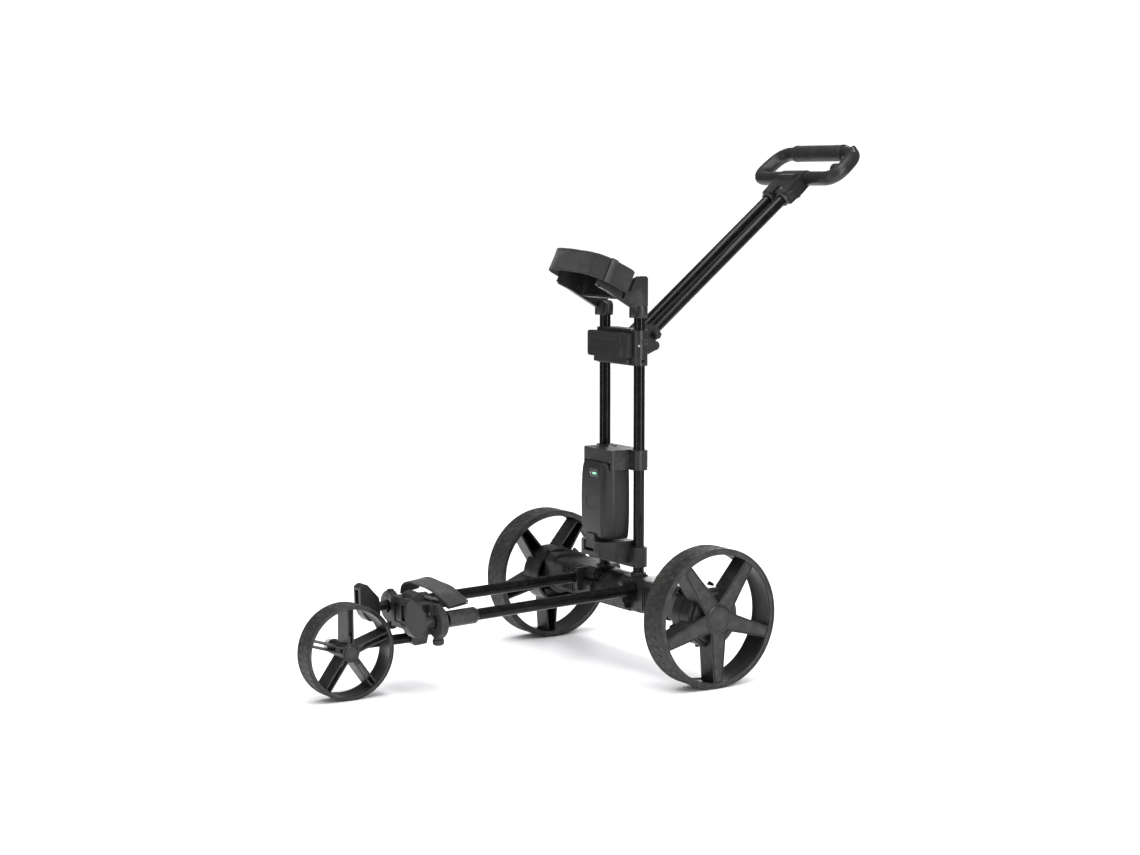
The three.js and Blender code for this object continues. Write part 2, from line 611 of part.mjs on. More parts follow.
function buildBatteryHood() {
  const band = layer(wrapOutline(), HOOD_LOW, HOOD_TOP);
  const side = BATTERY_HALF + RUN + HOOD_WALL;
  const hood = block(-side, side, HOOD_FRONT, MAST_Y, HOOD_LOW, HOOD_TOP);
  const room = block(-BATTERY_HALF - RUN, BATTERY_HALF + RUN, BATTERY_FRONT - 5,
    BATTERY_BACK + RUN, HOOD_LOW - 5, BATTERY_TOP + RUN);
  const body = cut(union(band, hood), room, ...mastHoles(HOOD_LOW - 1, HOOD_TOP + 1));
  put(mast, 'battery_hood', body, moulded());
}

// The pack narrows toward its front; its tongue reaches down into the dock.
function buildBattery() {
  const flank = BATTERY_HALF - 8;
  const nose = BATTERY_HALF - 15;
  const shape = polygon([[-BATTERY_HALF, BATTERY_BACK], [-BATTERY_HALF, BATTERY_FRONT + 30],
    [-flank, BATTERY_FRONT + 6], [-nose, BATTERY_FRONT], [nose, BATTERY_FRONT],
    [flank, BATTERY_FRONT + 6], [BATTERY_HALF, BATTERY_FRONT + 30],
    [BATTERY_HALF, BATTERY_BACK]]);
  const tongue = block(TONGUE_X - TONGUE_HALF, TONGUE_X + TONGUE_HALF, BATTERY_FRONT,
    BATTERY_FRONT + TONGUE_DEEP, NOTCH_LOW + 6, BATTERY_LOW + 5);
  const seat = block(LENS_X - LENS_HALF - GAP, LENS_X + LENS_HALF + GAP, BATTERY_FRONT - 2,
    BATTERY_FRONT + 2, LENS_LOW - GAP, LENS_HIGH + GAP);
  const pack = cut(union(layer(shape, BATTERY_LOW, BATTERY_TOP), tongue), seat);
  put(mast, 'battery_pack', pack, moulded());
  const lens = block(LENS_X - LENS_HALF, LENS_X + LENS_HALF, BATTERY_FRONT,
    BATTERY_FRONT + 2 - GAP, LENS_LOW, LENS_HIGH);
  put(mast, 'battery_indicator', lens, greenLens());
}

function buildCrossblock() {
  const body = layer(wrapOutline(), BLOCK_LOW, BLOCK_TOP);
  const window = block(-MAST_X + 20, MAST_X - 20, MAST_Y - 30, MAST_Y + 4, BLOCK_LOW + 8,
    BLOCK_TOP - 6);
  const back = MAST_Y + MAST_WRAP - 4;
  let folding = body.subtract(window);
  for (const [, sign] of SIDES) {
    const [x0, x1] = span(sign, LUG_IN, LUG_OUT);
    const shape = new THREE.Shape();
    shape.moveTo(back, HINGE_Z - 24);
    shape.lineTo(HINGE_Y, HINGE_Z - LUG_R);
    shape.absarc(HINGE_Y, HINGE_Z, LUG_R, -Math.PI / 2, Math.PI / 2);
    shape.lineTo(back, HINGE_Z + 26);
    folding = folding.add(slab(shape, x0, x1, 8));
  }
  const pinHole = bar('x', HINGE_PIN_R + GAP, -60, 60, HINGE_Y, HINGE_Z, COARSE);
  put(mast, 'folding_block', cut(folding, pinHole, ...mastHoles(BLOCK_LOW - 1, BLOCK_TOP + 1)),
    moulded());
  const pin = bar('x', HINGE_PIN_R, -LUG_OUT, LUG_OUT, HINGE_Y, HINGE_Z, COARSE);
  put(mast, 'handle_hinge_pin', pin, steel());
  const face = roundedRect(-COVER_RIGHT, COVER_LEFT, BLOCK_LOW + 13, BLOCK_TOP - 6, 7);
  const cover = new THREE.ExtrudeGeometry(face,
    { depth: COVER_DEEP, bevelEnabled: false, curveSegments: 4 });
  cover.rotateX(Math.PI / 2).translate(0, COVER_BACK, 0);
  put(mast, 'folding_block_cover', solid(cover), moulded());
}

// ---------------------------------------------------------------- upper cradle
function buildCradleBracket(side, sign) {
  const [x0, x1] = span(sign, MAST_X - TUBE_R - 2.9, MAST_OUT);
  const collar = block(x0, x1, MAST_Y - MAST_WRAP + RUN, MAST_Y + MAST_WRAP - RUN, CRADLE_LOW,
    CRADLE_COLLAR_TOP);
  const [w0, w1] = span(sign, MAST_OUT - TUBE_R + 0.1, MAST_OUT);
  const wing = slab(polygon([[MAST_Y + 10, CRADLE_COLLAR_TOP - 5],
    [MAST_Y + 10, CRADLE_WING_TOP - 4], [MAST_Y + 6, CRADLE_WING_TOP],
    [MAST_Y - 10, CRADLE_WING_TOP], [MAST_Y - 19, CRADLE_WING_TOP - 4],
    [MAST_Y - 39, CRADLE_WING_TOP - 42], [MAST_Y - 15, CRADLE_COLLAR_TOP - 5]]), w0, w1);
  const hole = bar('z', MAST_HOLE_R, CRADLE_LOW - 1, MAST_TOP + GAP, sign * MAST_X, MAST_Y);
  const gusset = slab(polygon([[MAST_Y - 11, CRADLE_LOW + 12], [MAST_Y - 11, CRADLE_Z + 6],
    [CRADLE_Y - 33, CRADLE_Z + 26], [CRADLE_Y - 33, CRADLE_Z + 13]]), w0, w1);
  const ringClear = block(-200, 200, -RING_DEPTH - 20, GAP, -GAP, 90)
    .rotate([-CRADLE_TILT, 0, 0]).translate([0, CRADLE_Y, CRADLE_Z]);
  put(mast, `${side}_cradle_bracket`, cut(union(collar, wing, gusset), hole, ringClear),
    moulded());
}

// Open U in the ring's own plane: local y = 0 is the back, the arms reach toward -y.
function uShape(halfOut, thick, back, reach, radius) {
  const halfIn = halfOut - thick;
  const innerRadius = Math.max(radius - thick, 2);
  const shape = new THREE.Shape();
  shape.moveTo(halfOut, reach);
  shape.lineTo(halfOut, back - radius);
  shape.absarc(halfOut - radius, back - radius, radius, 0, Math.PI / 2);
  shape.lineTo(-halfOut + radius, back);
  shape.absarc(-halfOut + radius, back - radius, radius, Math.PI / 2, Math.PI);
  shape.lineTo(-halfOut, reach);
  shape.lineTo(-halfIn, reach);
  shape.lineTo(-halfIn, back - thick - innerRadius);
  shape.absarc(-halfIn + innerRadius, back - thick - innerRadius, innerRadius,
    Math.PI, Math.PI / 2, true);
  shape.lineTo(halfIn - innerRadius, back - thick);
  shape.absarc(halfIn - innerRadius, back - thick - innerRadius, innerRadius,
    Math.PI / 2, 0, true);
  shape.lineTo(halfIn, reach);
  return shape;
}

function buildCradleRing() {
  const ring = new THREE.Group();
  ring.position.set(0, CRADLE_Y, CRADLE_Z);
  ring.rotation.x = degrees(-CRADLE_TILT);
  mast.add(ring);

  const saddleHalf = RING_HALF - BAND_THICK - GAP;
  const arms = -RING_DEPTH + STRAP_CORNER + 4;
  const saddle = layer(uShape(saddleHalf, SADDLE_THICK, 0, arms, SADDLE_CORNER), 0, SADDLE_HIGH);
  put(ring, 'cradle_saddle', saddle, moulded());

  // The strap leaves each wing, runs along the saddle's arms and closes the front.
  const front = -RING_DEPTH;
  const band = uShape(RING_HALF, BAND_THICK, -front, 0, STRAP_CORNER);
  const geometry = new THREE.ExtrudeGeometry(band,
    { depth: BAND_HIGH - BAND_LOW, bevelEnabled: false, curveSegments: 5 });
  geometry.rotateZ(Math.PI).translate(0, 0, BAND_LOW);
  put(ring, 'upper_strap', solid(geometry), webbing());

  const keeperX = RING_HALF + GAP;
  const keeperY = front + STRAP_CORNER;
  const keeper = block(keeperX, keeperX + 3, keeperY, keeperY + 12, BAND_LOW - 1, BAND_HIGH + 1);
  put(ring, 'strap_keeper', keeper, moulded());
}

// ----------------------------------------------------------------------- handle
// Built in the handle's own line: local y runs up the tubes from the hinge pin.
const handle = new THREE.Group();
handle.position.set(0, HINGE_Y, HINGE_Z);
handle.rotation.x = degrees(HANDLE_TILT);
mast.add(handle);

class LoopPath extends THREE.Curve {
  // Leaves the grip's +x end, turns round the front bar and comes back at its -x end.
  constructor() {
    super();
    const corner = (LOOP_FAR - LOOP_NEAR) / 2;
    const middle = (LOOP_FAR + LOOP_NEAR) / 2;
    this.corner = corner;
    this.middle = middle;
    this.straight = LOOP_HALF - corner;
    this.arc = Math.PI * corner;
    this.total = 2 * this.arc + 2 * this.straight;
  }

  getPoint(t, target = new THREE.Vector3()) {
    let s = t * this.total;
    if (s < this.arc) {
      const angle = Math.PI / 2 - s / this.corner;
      return target.set(this.straight + this.corner * Math.cos(angle),
        this.middle + this.corner * Math.sin(angle), 0);
    }
    s -= this.arc;
    if (s < 2 * this.straight) return target.set(this.straight - s, LOOP_NEAR, 0);
    s -= 2 * this.straight;
    const angle = -Math.PI / 2 - s / this.corner;
    return target.set(-this.straight + this.corner * Math.cos(angle),
      this.middle + this.corner * Math.sin(angle), 0);
  }
}

function circleShape(radius) {
  const shape = new THREE.Shape();
  shape.absarc(0, 0, radius, 0, Math.PI * 2);
  return shape;
}

function buildHandle() {
  const rise = HANDLE_RISE;
  for (const [side, sign] of SIDES) {
    const x = sign * HANDLE_X;
    const tube = bar('y', TUBE_R, HANDLE_TUBE_START, HANDLE_TUBE_END, x, rise);
    const hollow = bar('y', TUBE_R - TUBE_WALL, HANDLE_TUBE_START - 1, HANDLE_TUBE_END + 1,
      x, rise, SLIM);
    put(handle, `${side}_handle_tube`, tube.subtract(hollow), gloss());
  }
  const holes = (from, to) => SIDES.map(([, sign]) =>
    bar('y', TUBE_R + GAP, from, to, sign * HANDLE_X, rise));

  const hingeHalf = LUG_IN - RUN;
  const hinge = union(
    slab(roundedRect(-10, 10, -8, 12, 6), -hingeHalf, hingeHalf, 4),
    block(-hingeHalf, hingeHalf, -9, 30, 3, rise + TUBE_R + 2));
  const pinHole = bar('x', HINGE_PIN_R + GAP, -60, 60, 0, 0, COARSE);
  put(handle, 'handle_hinge', cut(hinge, pinHole, ...holes(HANDLE_TUBE_START - GAP, 60)),
    moulded());

  const sleeve = bar('x', LOOP_R + 4, -SOCKET_HALF - 4, SOCKET_HALF + 4, LOOP_NEAR, rise);
  const body = slab(polygon([[SOCKET_START, rise - 15], [SOCKET_START + 40, rise - 17],
    [LOOP_NEAR + 10, rise - 14], [LOOP_NEAR + 10, rise + 13], [SOCKET_START + 40, rise + 17],
    [SOCKET_START, rise + 15]]),
  -SOCKET_HALF, SOCKET_HALF);
  const barHole = bar('x', LOOP_R + GAP, -90, 90, LOOP_NEAR, rise);
  put(handle, 'handle_socket', cut(union(sleeve, body), barHole,
    ...holes(SOCKET_START - 20, HANDLE_TUBE_END + GAP)), moulded());

  const path = new LoopPath();
  const loopGeometry = new THREE.ExtrudeGeometry(circleShape(LOOP_R),
    { steps: 34, extrudePath: path, curveSegments: 6 });
  loopGeometry.translate(0, 0, rise);
  const core = bar('x', CORE_R, -path.straight - 3, path.straight + 3, LOOP_FAR, rise, SLIM);
  const loop = solid(loopGeometry).add(core);
  const gripHalf = Math.min(GRIP_HALF, path.straight - GAP);
  const dialX = LOOP_HALF - LOOP_R - 5;
  const dialY = (LOOP_NEAR + LOOP_FAR) / 2 - 12;
  const dialSeat = bar('x', DIAL_R + RUN, dialX - 12, dialX + 6 + RUN, dialY, rise, MIDDLING);
  const buttonX = LOOP_HALF - 8;
  const buttonY = LOOP_FAR - 4;
  const buttonSeat = bar('z', BUTTON_R + RUN, rise + 4, rise + 40, buttonX, buttonY, SLIM);
  put(handle, 'handle_loop', cut(loop, dialSeat, buttonSeat), moulded());

  const gripOuter = turned([[0, -gripHalf], [GRIP_R - 1.5, -gripHalf], [GRIP_R, -gripHalf + 2],
    [GRIP_R, gripHalf - 2], [GRIP_R - 1.5, gripHalf], [0, gripHalf]], MIDDLING)
    .translate([0, LOOP_FAR, rise]);
  const gripBore = bar('x', CORE_R + GAP, -gripHalf - 1, gripHalf + 1, LOOP_FAR, rise, SLIM);
  put(handle, 'handle_grip', gripOuter.subtract(gripBore), rubber());

  const dial = bar('x', DIAL_R, dialX - 8, dialX + 6, dialY, rise, MIDDLING);
  put(handle, 'speed_dial', dial, moulded());
  const button = bar('z', BUTTON_R, rise + 4 + 2.5, rise + LOOP_R + 3, buttonX, buttonY, SLIM);
  put(handle, 'power_button', button, moulded());
}

// --------------------------------------------------------------------- assembly
for (const [side, sign] of SIDES) {
  buildRearWheel(side, sign);
  buildKnuckle(side, sign);
  buildAxleHalf(side, sign);
  buildRail(side, sign);
  buildMastTube(side, sign);
  buildMastFoot(side, sign);
  buildCradleBracket(side, sign);
}
buildFrontWheel();
buildFrontArm();
buildAxleBridge();
buildCrossmember();
buildLowerStrap();
buildDock();
buildBatteryHood();
buildBattery();
buildCrossblock();
buildCradleRing();
buildHandle();

cart.updateMatrixWorld(true);
const outline = new THREE.Box3().setFromObject(cart, true);
cart.position.y = -(outline.min.y + outline.max.y) / 2;
cart.updateMatrixWorld(true);

export default cart;
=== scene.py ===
# %% [markdown]
# # An electric golf push cart
# The cart stands unfolded and empty: three wheels, a flat frame of two tubes, an upright
# of two tubes that carries the battery, and a long handle with a closed loop.
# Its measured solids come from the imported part. This file gives them their real edges,
# seams, straps, screws and finishes, in the same place and at the same size.

# %% Load the measured part
import math

import bmesh
import bpy
from mathutils import Matrix, Vector


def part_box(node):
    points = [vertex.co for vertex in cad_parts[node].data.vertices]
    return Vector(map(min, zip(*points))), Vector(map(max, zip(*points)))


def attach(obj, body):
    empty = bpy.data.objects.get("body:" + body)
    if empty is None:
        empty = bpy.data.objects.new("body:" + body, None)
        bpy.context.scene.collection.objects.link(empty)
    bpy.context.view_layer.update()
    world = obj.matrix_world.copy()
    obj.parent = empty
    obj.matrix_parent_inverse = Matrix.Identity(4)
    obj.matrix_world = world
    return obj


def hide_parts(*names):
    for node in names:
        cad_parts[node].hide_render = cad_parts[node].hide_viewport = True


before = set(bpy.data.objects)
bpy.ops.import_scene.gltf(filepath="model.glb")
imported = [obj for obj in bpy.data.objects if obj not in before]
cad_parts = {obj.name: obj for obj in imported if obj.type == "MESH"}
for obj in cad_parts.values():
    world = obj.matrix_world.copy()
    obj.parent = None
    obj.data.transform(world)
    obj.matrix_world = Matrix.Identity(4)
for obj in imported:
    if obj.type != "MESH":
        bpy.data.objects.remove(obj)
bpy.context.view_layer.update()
MM = 0.001
AXLE_Y = (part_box("left_rear_tyre")[0].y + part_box("left_rear_tyre")[1].y) / 2
SIDES = (("left", 1), ("right", -1))
print("nodes", len(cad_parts), "axle line at y", round(AXLE_Y, 4))

# %% [markdown]
# Every piece is drawn in millimetres in a frame of its own: a wheel round its axle, a
# sleeve along its tube, the handle along its two tubes. A frame is only a matrix, so the
# drawing stays easy to read and the finished mesh still holds its true place.

# %% Frames to draw in


def frame_at(x, y, z, turn_x=0.0, turn_z=0.0):
    """Millimetre frame with its origin at a point of the cart, measured from the axle."""
    return (Matrix.Translation((x * MM, y * MM + AXLE_Y, z * MM))
            @ Matrix.Rotation(turn_z, 4, "Z") @ Matrix.Rotation(turn_x, 4, "X")
            @ Matrix.Scale(MM, 4))


REAR_R = 135.0
REAR_TRACK = 570.4
FRONT_R = 90.0
NOSE_REACH = -627.5
RAIL_X, RAIL_Z = 91, 161.6
RAIL_TILT = math.atan(0.027)
HINGE_Y, HINGE_Z = 40, 636.5
HANDLE_RISE = 15.2
CART = frame_at(0, 0, 0)
WHEEL = {s: frame_at(k * REAR_TRACK / 2, 0, REAR_R, turn_z=0 if k > 0 else math.pi)
         for s, k in SIDES}
NOSE_WHEEL = frame_at(-6, NOSE_REACH, FRONT_R)
RAIL = {s: frame_at(k * RAIL_X, 0, RAIL_Z, turn_x=RAIL_TILT) for s, k in SIDES}
RING = frame_at(0, -57, 734, turn_x=math.radians(-25))
HANDLE = frame_at(0, HINGE_Y, HINGE_Z, turn_x=math.radians(38.5))
print("frames", 4 + len(WHEEL) + len(RAIL))

# %% [markdown]
# Moulded parts are flat outlines pushed along an axis, or profiles turned round one.
# These helpers add such shapes to a bmesh. Corners are rounded in the outline itself,
# because a real mould never leaves a knife edge.

# %% Outlines and simple solids


def rounded(points, radius, steps=4):
    """A polygon with every corner rounded; radius is one number or one per corner."""
    out = []
    n = len(points)
    radii = radius if isinstance(radius, (list, tuple)) else [radius] * n
    for i, here in enumerate(points):
        p = Vector(here)
        a = Vector(points[i - 1]) - p
        b = Vector(points[(i + 1) % n]) - p
        if radii[i] <= 0:
            out.append(tuple(p))
            continue
        half = a.angle(b) / 2
        cut = min(radii[i] / math.tan(half), a.length * 0.49, b.length * 0.49)
        start, end = p + a.normalized() * cut, p + b.normalized() * cut
        for k in range(steps + 1):
            t = k / steps
            out.append(tuple(start * (1 - t) ** 2 + p * 2 * t * (1 - t) + end * t * t))
    return out


def rect(u0, u1, v0, v1):
    return [(u0, v0), (u1, v0), (u1, v1), (u0, v1)]


def on_axis(axis, u, v, w):
    """The point whose outline place is (u, v) and whose place along the axis is w."""
    return {"x": (w, u, v), "y": (u, w, v), "z": (u, v, w)}[axis]


def prism(bm, axis, outline, low, high):
    """An outline pushed along an axis: (y, z) along x, (x, z) along y, (x, y) along z."""
    ends = [[bm.verts.new(on_axis(axis, u, v, w)) for u, v in outline]
            for w in (low, high)]
    n = len(outline)
    faces = [bm.faces.new(ends[0]), bm.faces.new(ends[1])]
    for i in range(n):
        j = (i + 1) % n
        faces.append(bm.faces.new((ends[0][i], ends[0][j], ends[1][j], ends[1][i])))
    bmesh.ops.recalc_face_normals(bm, faces=faces)
    return faces


def box(bm, x0, x1, y0, y1, z0, z1):
    return prism(bm, "z", rect(x0, x1, y0, y1), z0, z1)


def lathe(bm, profile, steps=64, axis="x", centre=(0, 0)):
    """A closed profile of (radius, place) points turned round an axis."""
    rings = []
    for k in range(steps):
        angle = 2 * math.pi * k / steps
        rings.append([bm.verts.new(on_axis(
            axis, centre[0] + r * math.cos(angle), centre[1] + r * math.sin(angle), w))
            for r, w in profile])
    faces = []
    n = len(profile)
    for k in range(steps):
        a, b = rings[k], rings[(k + 1) % steps]
        for i in range(n):
            j = (i + 1) % n
            faces.append(bm.faces.new((a[i], a[j], b[j], b[i])))
    bmesh.ops.remove_doubles(bm, verts=[v for ring in rings for v in ring], dist=1e-4)
    faces = [f for f in faces if f.is_valid]
    bmesh.ops.recalc_face_normals(bm, faces=faces)
    return faces


def rod(bm, axis, radius, low, high, u=0.0, v=0.0, steps=32, edge=0.6):
    """A round bar with a small chamfer at both ends."""
    return lathe(bm, [(0, low), (radius - edge, low), (radius, low + edge),
                      (radius, high - edge), (radius - edge, high), (0, high)],
                 steps, axis, (u, v))


def fresh(*calls):
    """A new bmesh with each (function, arguments...) drawn into it."""
    bm = bmesh.new()
    for call in calls:
        call[0](bm, *call[1:])
    return bm


print("a rounded square has", len(rounded(rect(0, 10, 0, 10), 2)), "corners")

# %% [markdown]
# Some details are cut out of a body: a slot, a window, a pocket. A Boolean does this the
# way a milling cutter would. A body that is already right in the measured part is copied
# from it, merged and freed of its needless flat edges, before it gets its cuts.

# %% Cutting, joining and copying


def mesh_object(name, bm):
    mesh = bpy.data.meshes.new(name)
    bm.to_mesh(mesh)
    bm.free()
    obj = bpy.data.objects.new(name, mesh)
    bpy.context.scene.collection.objects.link(obj)
    return obj


def evaluated(obj):
    """The object's mesh with its modifiers worked out."""
    bpy.context.view_layer.update()
    graph = bpy.context.evaluated_depsgraph_get()
    return bpy.data.meshes.new_from_object(obj.evaluated_get(graph))


def drop(obj):
    mesh = obj.data
    bpy.data.objects.remove(obj)
    if isinstance(mesh, bpy.types.Mesh):
        bpy.data.meshes.remove(mesh)


def combine(target, tool, operation="DIFFERENCE"):
    """Boolean of two bmeshes, as a new bmesh."""
    body, cutter = mesh_object("body", target), mesh_object("cutter", tool)
    step = body.modifiers.new("cut", "BOOLEAN")
    step.operation, step.solver, step.object = operation, "EXACT", cutter
    mesh = evaluated(body)
    out = bmesh.new()
    out.from_mesh(mesh)
    bpy.data.meshes.remove(mesh)
    drop(body)
    drop(cutter)
    return out


def from_cad(node, place=CART, flat=0.6):
    """The measured node's shape in a millimetre frame, merged and without flat edges."""
    bm = bmesh.new()
    bm.from_mesh(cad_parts[node].data)
    bmesh.ops.remove_doubles(bm, verts=bm.verts, dist=2e-6)
    bm.transform(place.inverted())
    bmesh.ops.dissolve_limit(bm, angle_limit=math.radians(flat), verts=bm.verts,
                             edges=bm.edges, delimit=set())
    return bm


trial = from_cad("battery_dock")
print("dock faces after merging", len(trial.faces))
trial.free()

# %% [markdown]
# Finishes come next. Several of them share the same small effects: the grain of a
# moulded surface, the pale line where an edge has rubbed, the dust of a fairway. Each
# effect is a node group made once, and every material sets its own amounts.

# %% Node helpers and the shared effects


def link_chain(tree, *pairs):
    for out, into in pairs:
        tree.links.new(out, into)


def effect_group(name, inputs, outputs):
    """An empty shader group with named inputs (name, kind, default) and outputs."""
    tree = bpy.data.node_groups.new(name, "ShaderNodeTree")
    for label, kind, value in inputs:
        socket = tree.interface.new_socket(label, in_out="INPUT", socket_type=kind)
        if value is not None:
            socket.default_value = value
    for label, kind in outputs:
        tree.interface.new_socket(label, in_out="OUTPUT", socket_type=kind)
    return tree, tree.nodes.new("NodeGroupInput"), tree.nodes.new("NodeGroupOutput")


def noise(tree, scale, detail=3.0, rough=0.55):
    node = tree.nodes.new("ShaderNodeTexNoise")
    node.inputs["Scale"].default_value = scale
    node.inputs["Detail"].default_value = detail
    node.inputs["Roughness"].default_value = rough
    return node


def maths(tree, operation, a=None, b=None, clamp=False):
    node = tree.nodes.new("ShaderNodeMath")
    node.operation, node.use_clamp = operation, clamp
    for i, value in enumerate((a, b)):
        if isinstance(value, (int, float)):
            node.inputs[i].default_value = value
        elif value is not None:
            tree.links.new(value, node.inputs[i])
    return node.outputs[0]


def span(tree, value, low, high, to_low=0.0, to_high=1.0):
    """Maps a value between two limits, with a soft start and end."""
    node = tree.nodes.new("ShaderNodeMapRange")
    node.interpolation_type = "SMOOTHSTEP"
    for label, number in (("From Min", low), ("From Max", high), ("To Min", to_low),
                          ("To Max", to_high)):
        if isinstance(number, (int, float)):
            node.inputs[label].default_value = number
        else:
            tree.links.new(number, node.inputs[label])
    tree.links.new(value, node.inputs["Value"])
    return node.outputs["Result"]


VECTOR, NUMBER = "NodeSocketVector", "NodeSocketFloat"


def grain_group():
    """Leathery mould grain: a fine height and a slow change of tone."""
    tree, given, made = effect_group(
        "mould_grain", [("Place", VECTOR, None), ("Size", NUMBER, 900.0),
                        ("Cloud Size", NUMBER, 14.0)],
        [("Height", NUMBER), ("Cloud", NUMBER)])
    cells = tree.nodes.new("ShaderNodeTexVoronoi")
    cells.feature = "SMOOTH_F1"
    fine = noise(tree, 1.0, 2.0)
    cloud = noise(tree, 1.0, 4.0, 0.6)
    link_chain(tree, (given.outputs["Place"], cells.inputs["Vector"]),
               (given.outputs["Place"], fine.inputs["Vector"]),
               (given.outputs["Place"], cloud.inputs["Vector"]),
               (given.outputs["Size"], cells.inputs["Scale"]),
               (maths(tree, "MULTIPLY", given.outputs["Size"], 0.45), fine.inputs["Scale"]),
               (given.outputs["Cloud Size"], cloud.inputs["Scale"]))
    height = maths(tree, "ADD", maths(tree, "MULTIPLY", cells.outputs["Distance"], 0.7),
                   maths(tree, "MULTIPLY", fine.outputs["Fac"], 0.5))
    link_chain(tree, (height, made.inputs["Height"]),
               (span(tree, cloud.outputs["Fac"], 0.3, 0.7), made.inputs["Cloud"]))
    return tree


def wear_group():
    """Where an outside corner has rubbed: the sharp places, broken up by noise."""
    tree, given, made = effect_group(
        "rubbed_edges", [("Place", VECTOR, None), ("Reach", NUMBER, 0.06)],
        [("Mask", NUMBER)])
    shape = tree.nodes.new("ShaderNodeNewGeometry")
    patches = noise(tree, 60.0, 5.0, 0.65)
    tree.links.new(given.outputs["Place"], patches.inputs["Vector"])
    top = maths(tree, "ADD", given.outputs["Reach"], 0.51)
    edges = span(tree, shape.outputs["Pointiness"], 0.51, top)
    broken = span(tree, patches.outputs["Fac"], 0.42, 0.66)
    tree.links.new(maths(tree, "MULTIPLY", edges, broken), made.inputs["Mask"])
    return tree


def dust_group():
    """Fine dust that lies on faces that look up, and thins out on the others."""
    tree, given, made = effect_group(
        "fairway_dust", [("Place", VECTOR, None), ("Amount", NUMBER, 0.3)],
        [("Mask", NUMBER)])
    where = tree.nodes.new("ShaderNodeTexCoord")
    split = tree.nodes.new("ShaderNodeSeparateXYZ")
    blots = noise(tree, 22.0, 6.0, 0.7)
    specks = noise(tree, 700.0, 2.0)
    link_chain(tree, (where.outputs["Normal"], split.inputs[0]),
               (given.outputs["Place"], blots.inputs["Vector"]),
               (given.outputs["Place"], specks.inputs["Vector"]))
    up = span(tree, split.outputs["Z"], -0.2, 0.9, 0.15, 1.0)
    lumps = span(tree, blots.outputs["Fac"], 0.45, 0.75)
    mask = maths(tree, "MULTIPLY", maths(tree, "MULTIPLY", up, lumps),
                 span(tree, specks.outputs["Fac"], 0.4, 0.6, 0.5, 1.0))
    tree.links.new(maths(tree, "MULTIPLY", mask, given.outputs["Amount"]),
                   made.inputs["Mask"])
    return tree


GRAIN, WEAR, DUST = grain_group(), wear_group(), dust_group()
print("shared effects", [g.name for g in (GRAIN, WEAR, DUST)])

# %% [markdown]
# One recipe makes every plastic, rubber and metal of the cart: a dark base that drifts
# slightly in tone, rubbed edges a little paler, dust on top, and a grain that bends the
# light. Only numbers differ, so the finishes belong together as they do on the cart.

# %% The finish recipe


def placed(tree, group, place, values):
    node = tree.nodes.new("ShaderNodeGroup")
    node.node_tree = group
    tree.links.new(place, node.inputs["Place"])
    for label, value in values.items():
        node.inputs[label].default_value = value
    return node


def mixed(tree, factor, a, b):
    """A colour mix; each colour is a plain colour or a socket."""
    node = tree.nodes.new("ShaderNodeMix")
    node.data_type = "RGBA"
    for socket, value in ((node.inputs[6], a), (node.inputs[7], b)):
        if isinstance(value, tuple):
            socket.default_value = (*value, 1.0)
        else:
            tree.links.new(value, socket)
    tree.links.new(factor, node.inputs[0])
    return node.outputs[2]


def start_material(name):
    material = bpy.data.materials.new(f"{name}_finish")
    material.use_nodes = True
    tree = material.node_tree
    return material, tree, tree.nodes["Principled BSDF"]


DUST_TONE = (0.16, 0.15, 0.13)


def finish(name, base, drift, rough, rough_drift=0.08, grain=900.0, depth=0.02,
           worn=(0.09, 0.09, 0.09), reach=0.08, dust=0.25, metallic=0.0, coat=0.0,
           coat_rough=0.1, stretch=(1, 1, 1), specular=0.5):
    """base and drift are the two tones; rough and rough_drift the two roughnesses."""
    material, tree, shader = start_material(name)
    where = tree.nodes.new("ShaderNodeTexCoord")
    turn = tree.nodes.new("ShaderNodeMapping")
    turn.inputs["Scale"].default_value = stretch
    tree.links.new(where.outputs["Object"], turn.inputs["Vector"])
    place = turn.outputs["Vector"]
    skin = placed(tree, GRAIN, place, {"Size": grain})
    edge = placed(tree, WEAR, where.outputs["Object"], {"Reach": reach})
    powder = placed(tree, DUST, where.outputs["Object"], {"Amount": dust})
    tone = mixed(tree, skin.outputs["Cloud"], base, drift)
    tone = mixed(tree, edge.outputs["Mask"], tone, worn)
    tone = mixed(tree, powder.outputs["Mask"], tone, DUST_TONE)
    tree.links.new(tone, shader.inputs["Base Color"])
    shine = maths(tree, "MULTIPLY_ADD", skin.outputs["Cloud"], rough_drift)
    shine.node.inputs[2].default_value = rough
    tree.links.new(maths(tree, "ADD", shine, maths(tree, "MULTIPLY",
                                                   powder.outputs["Mask"], 0.3)),
                   shader.inputs["Roughness"])
    bump = tree.nodes.new("ShaderNodeBump")
    bump.inputs["Strength"].default_value = 0.35
    bump.inputs["Distance"].default_value = depth * MM
    tree.links.new(skin.outputs["Height"], bump.inputs["Height"])
    tree.links.new(bump.outputs["Normal"], shader.inputs["Normal"])
    shader.inputs["Metallic"].default_value = metallic
    shader.inputs["Coat Weight"].default_value = coat
    shader.inputs["Coat Roughness"].default_value = coat_rough
    shader.inputs["Specular IOR Level"].default_value = specular
    return material


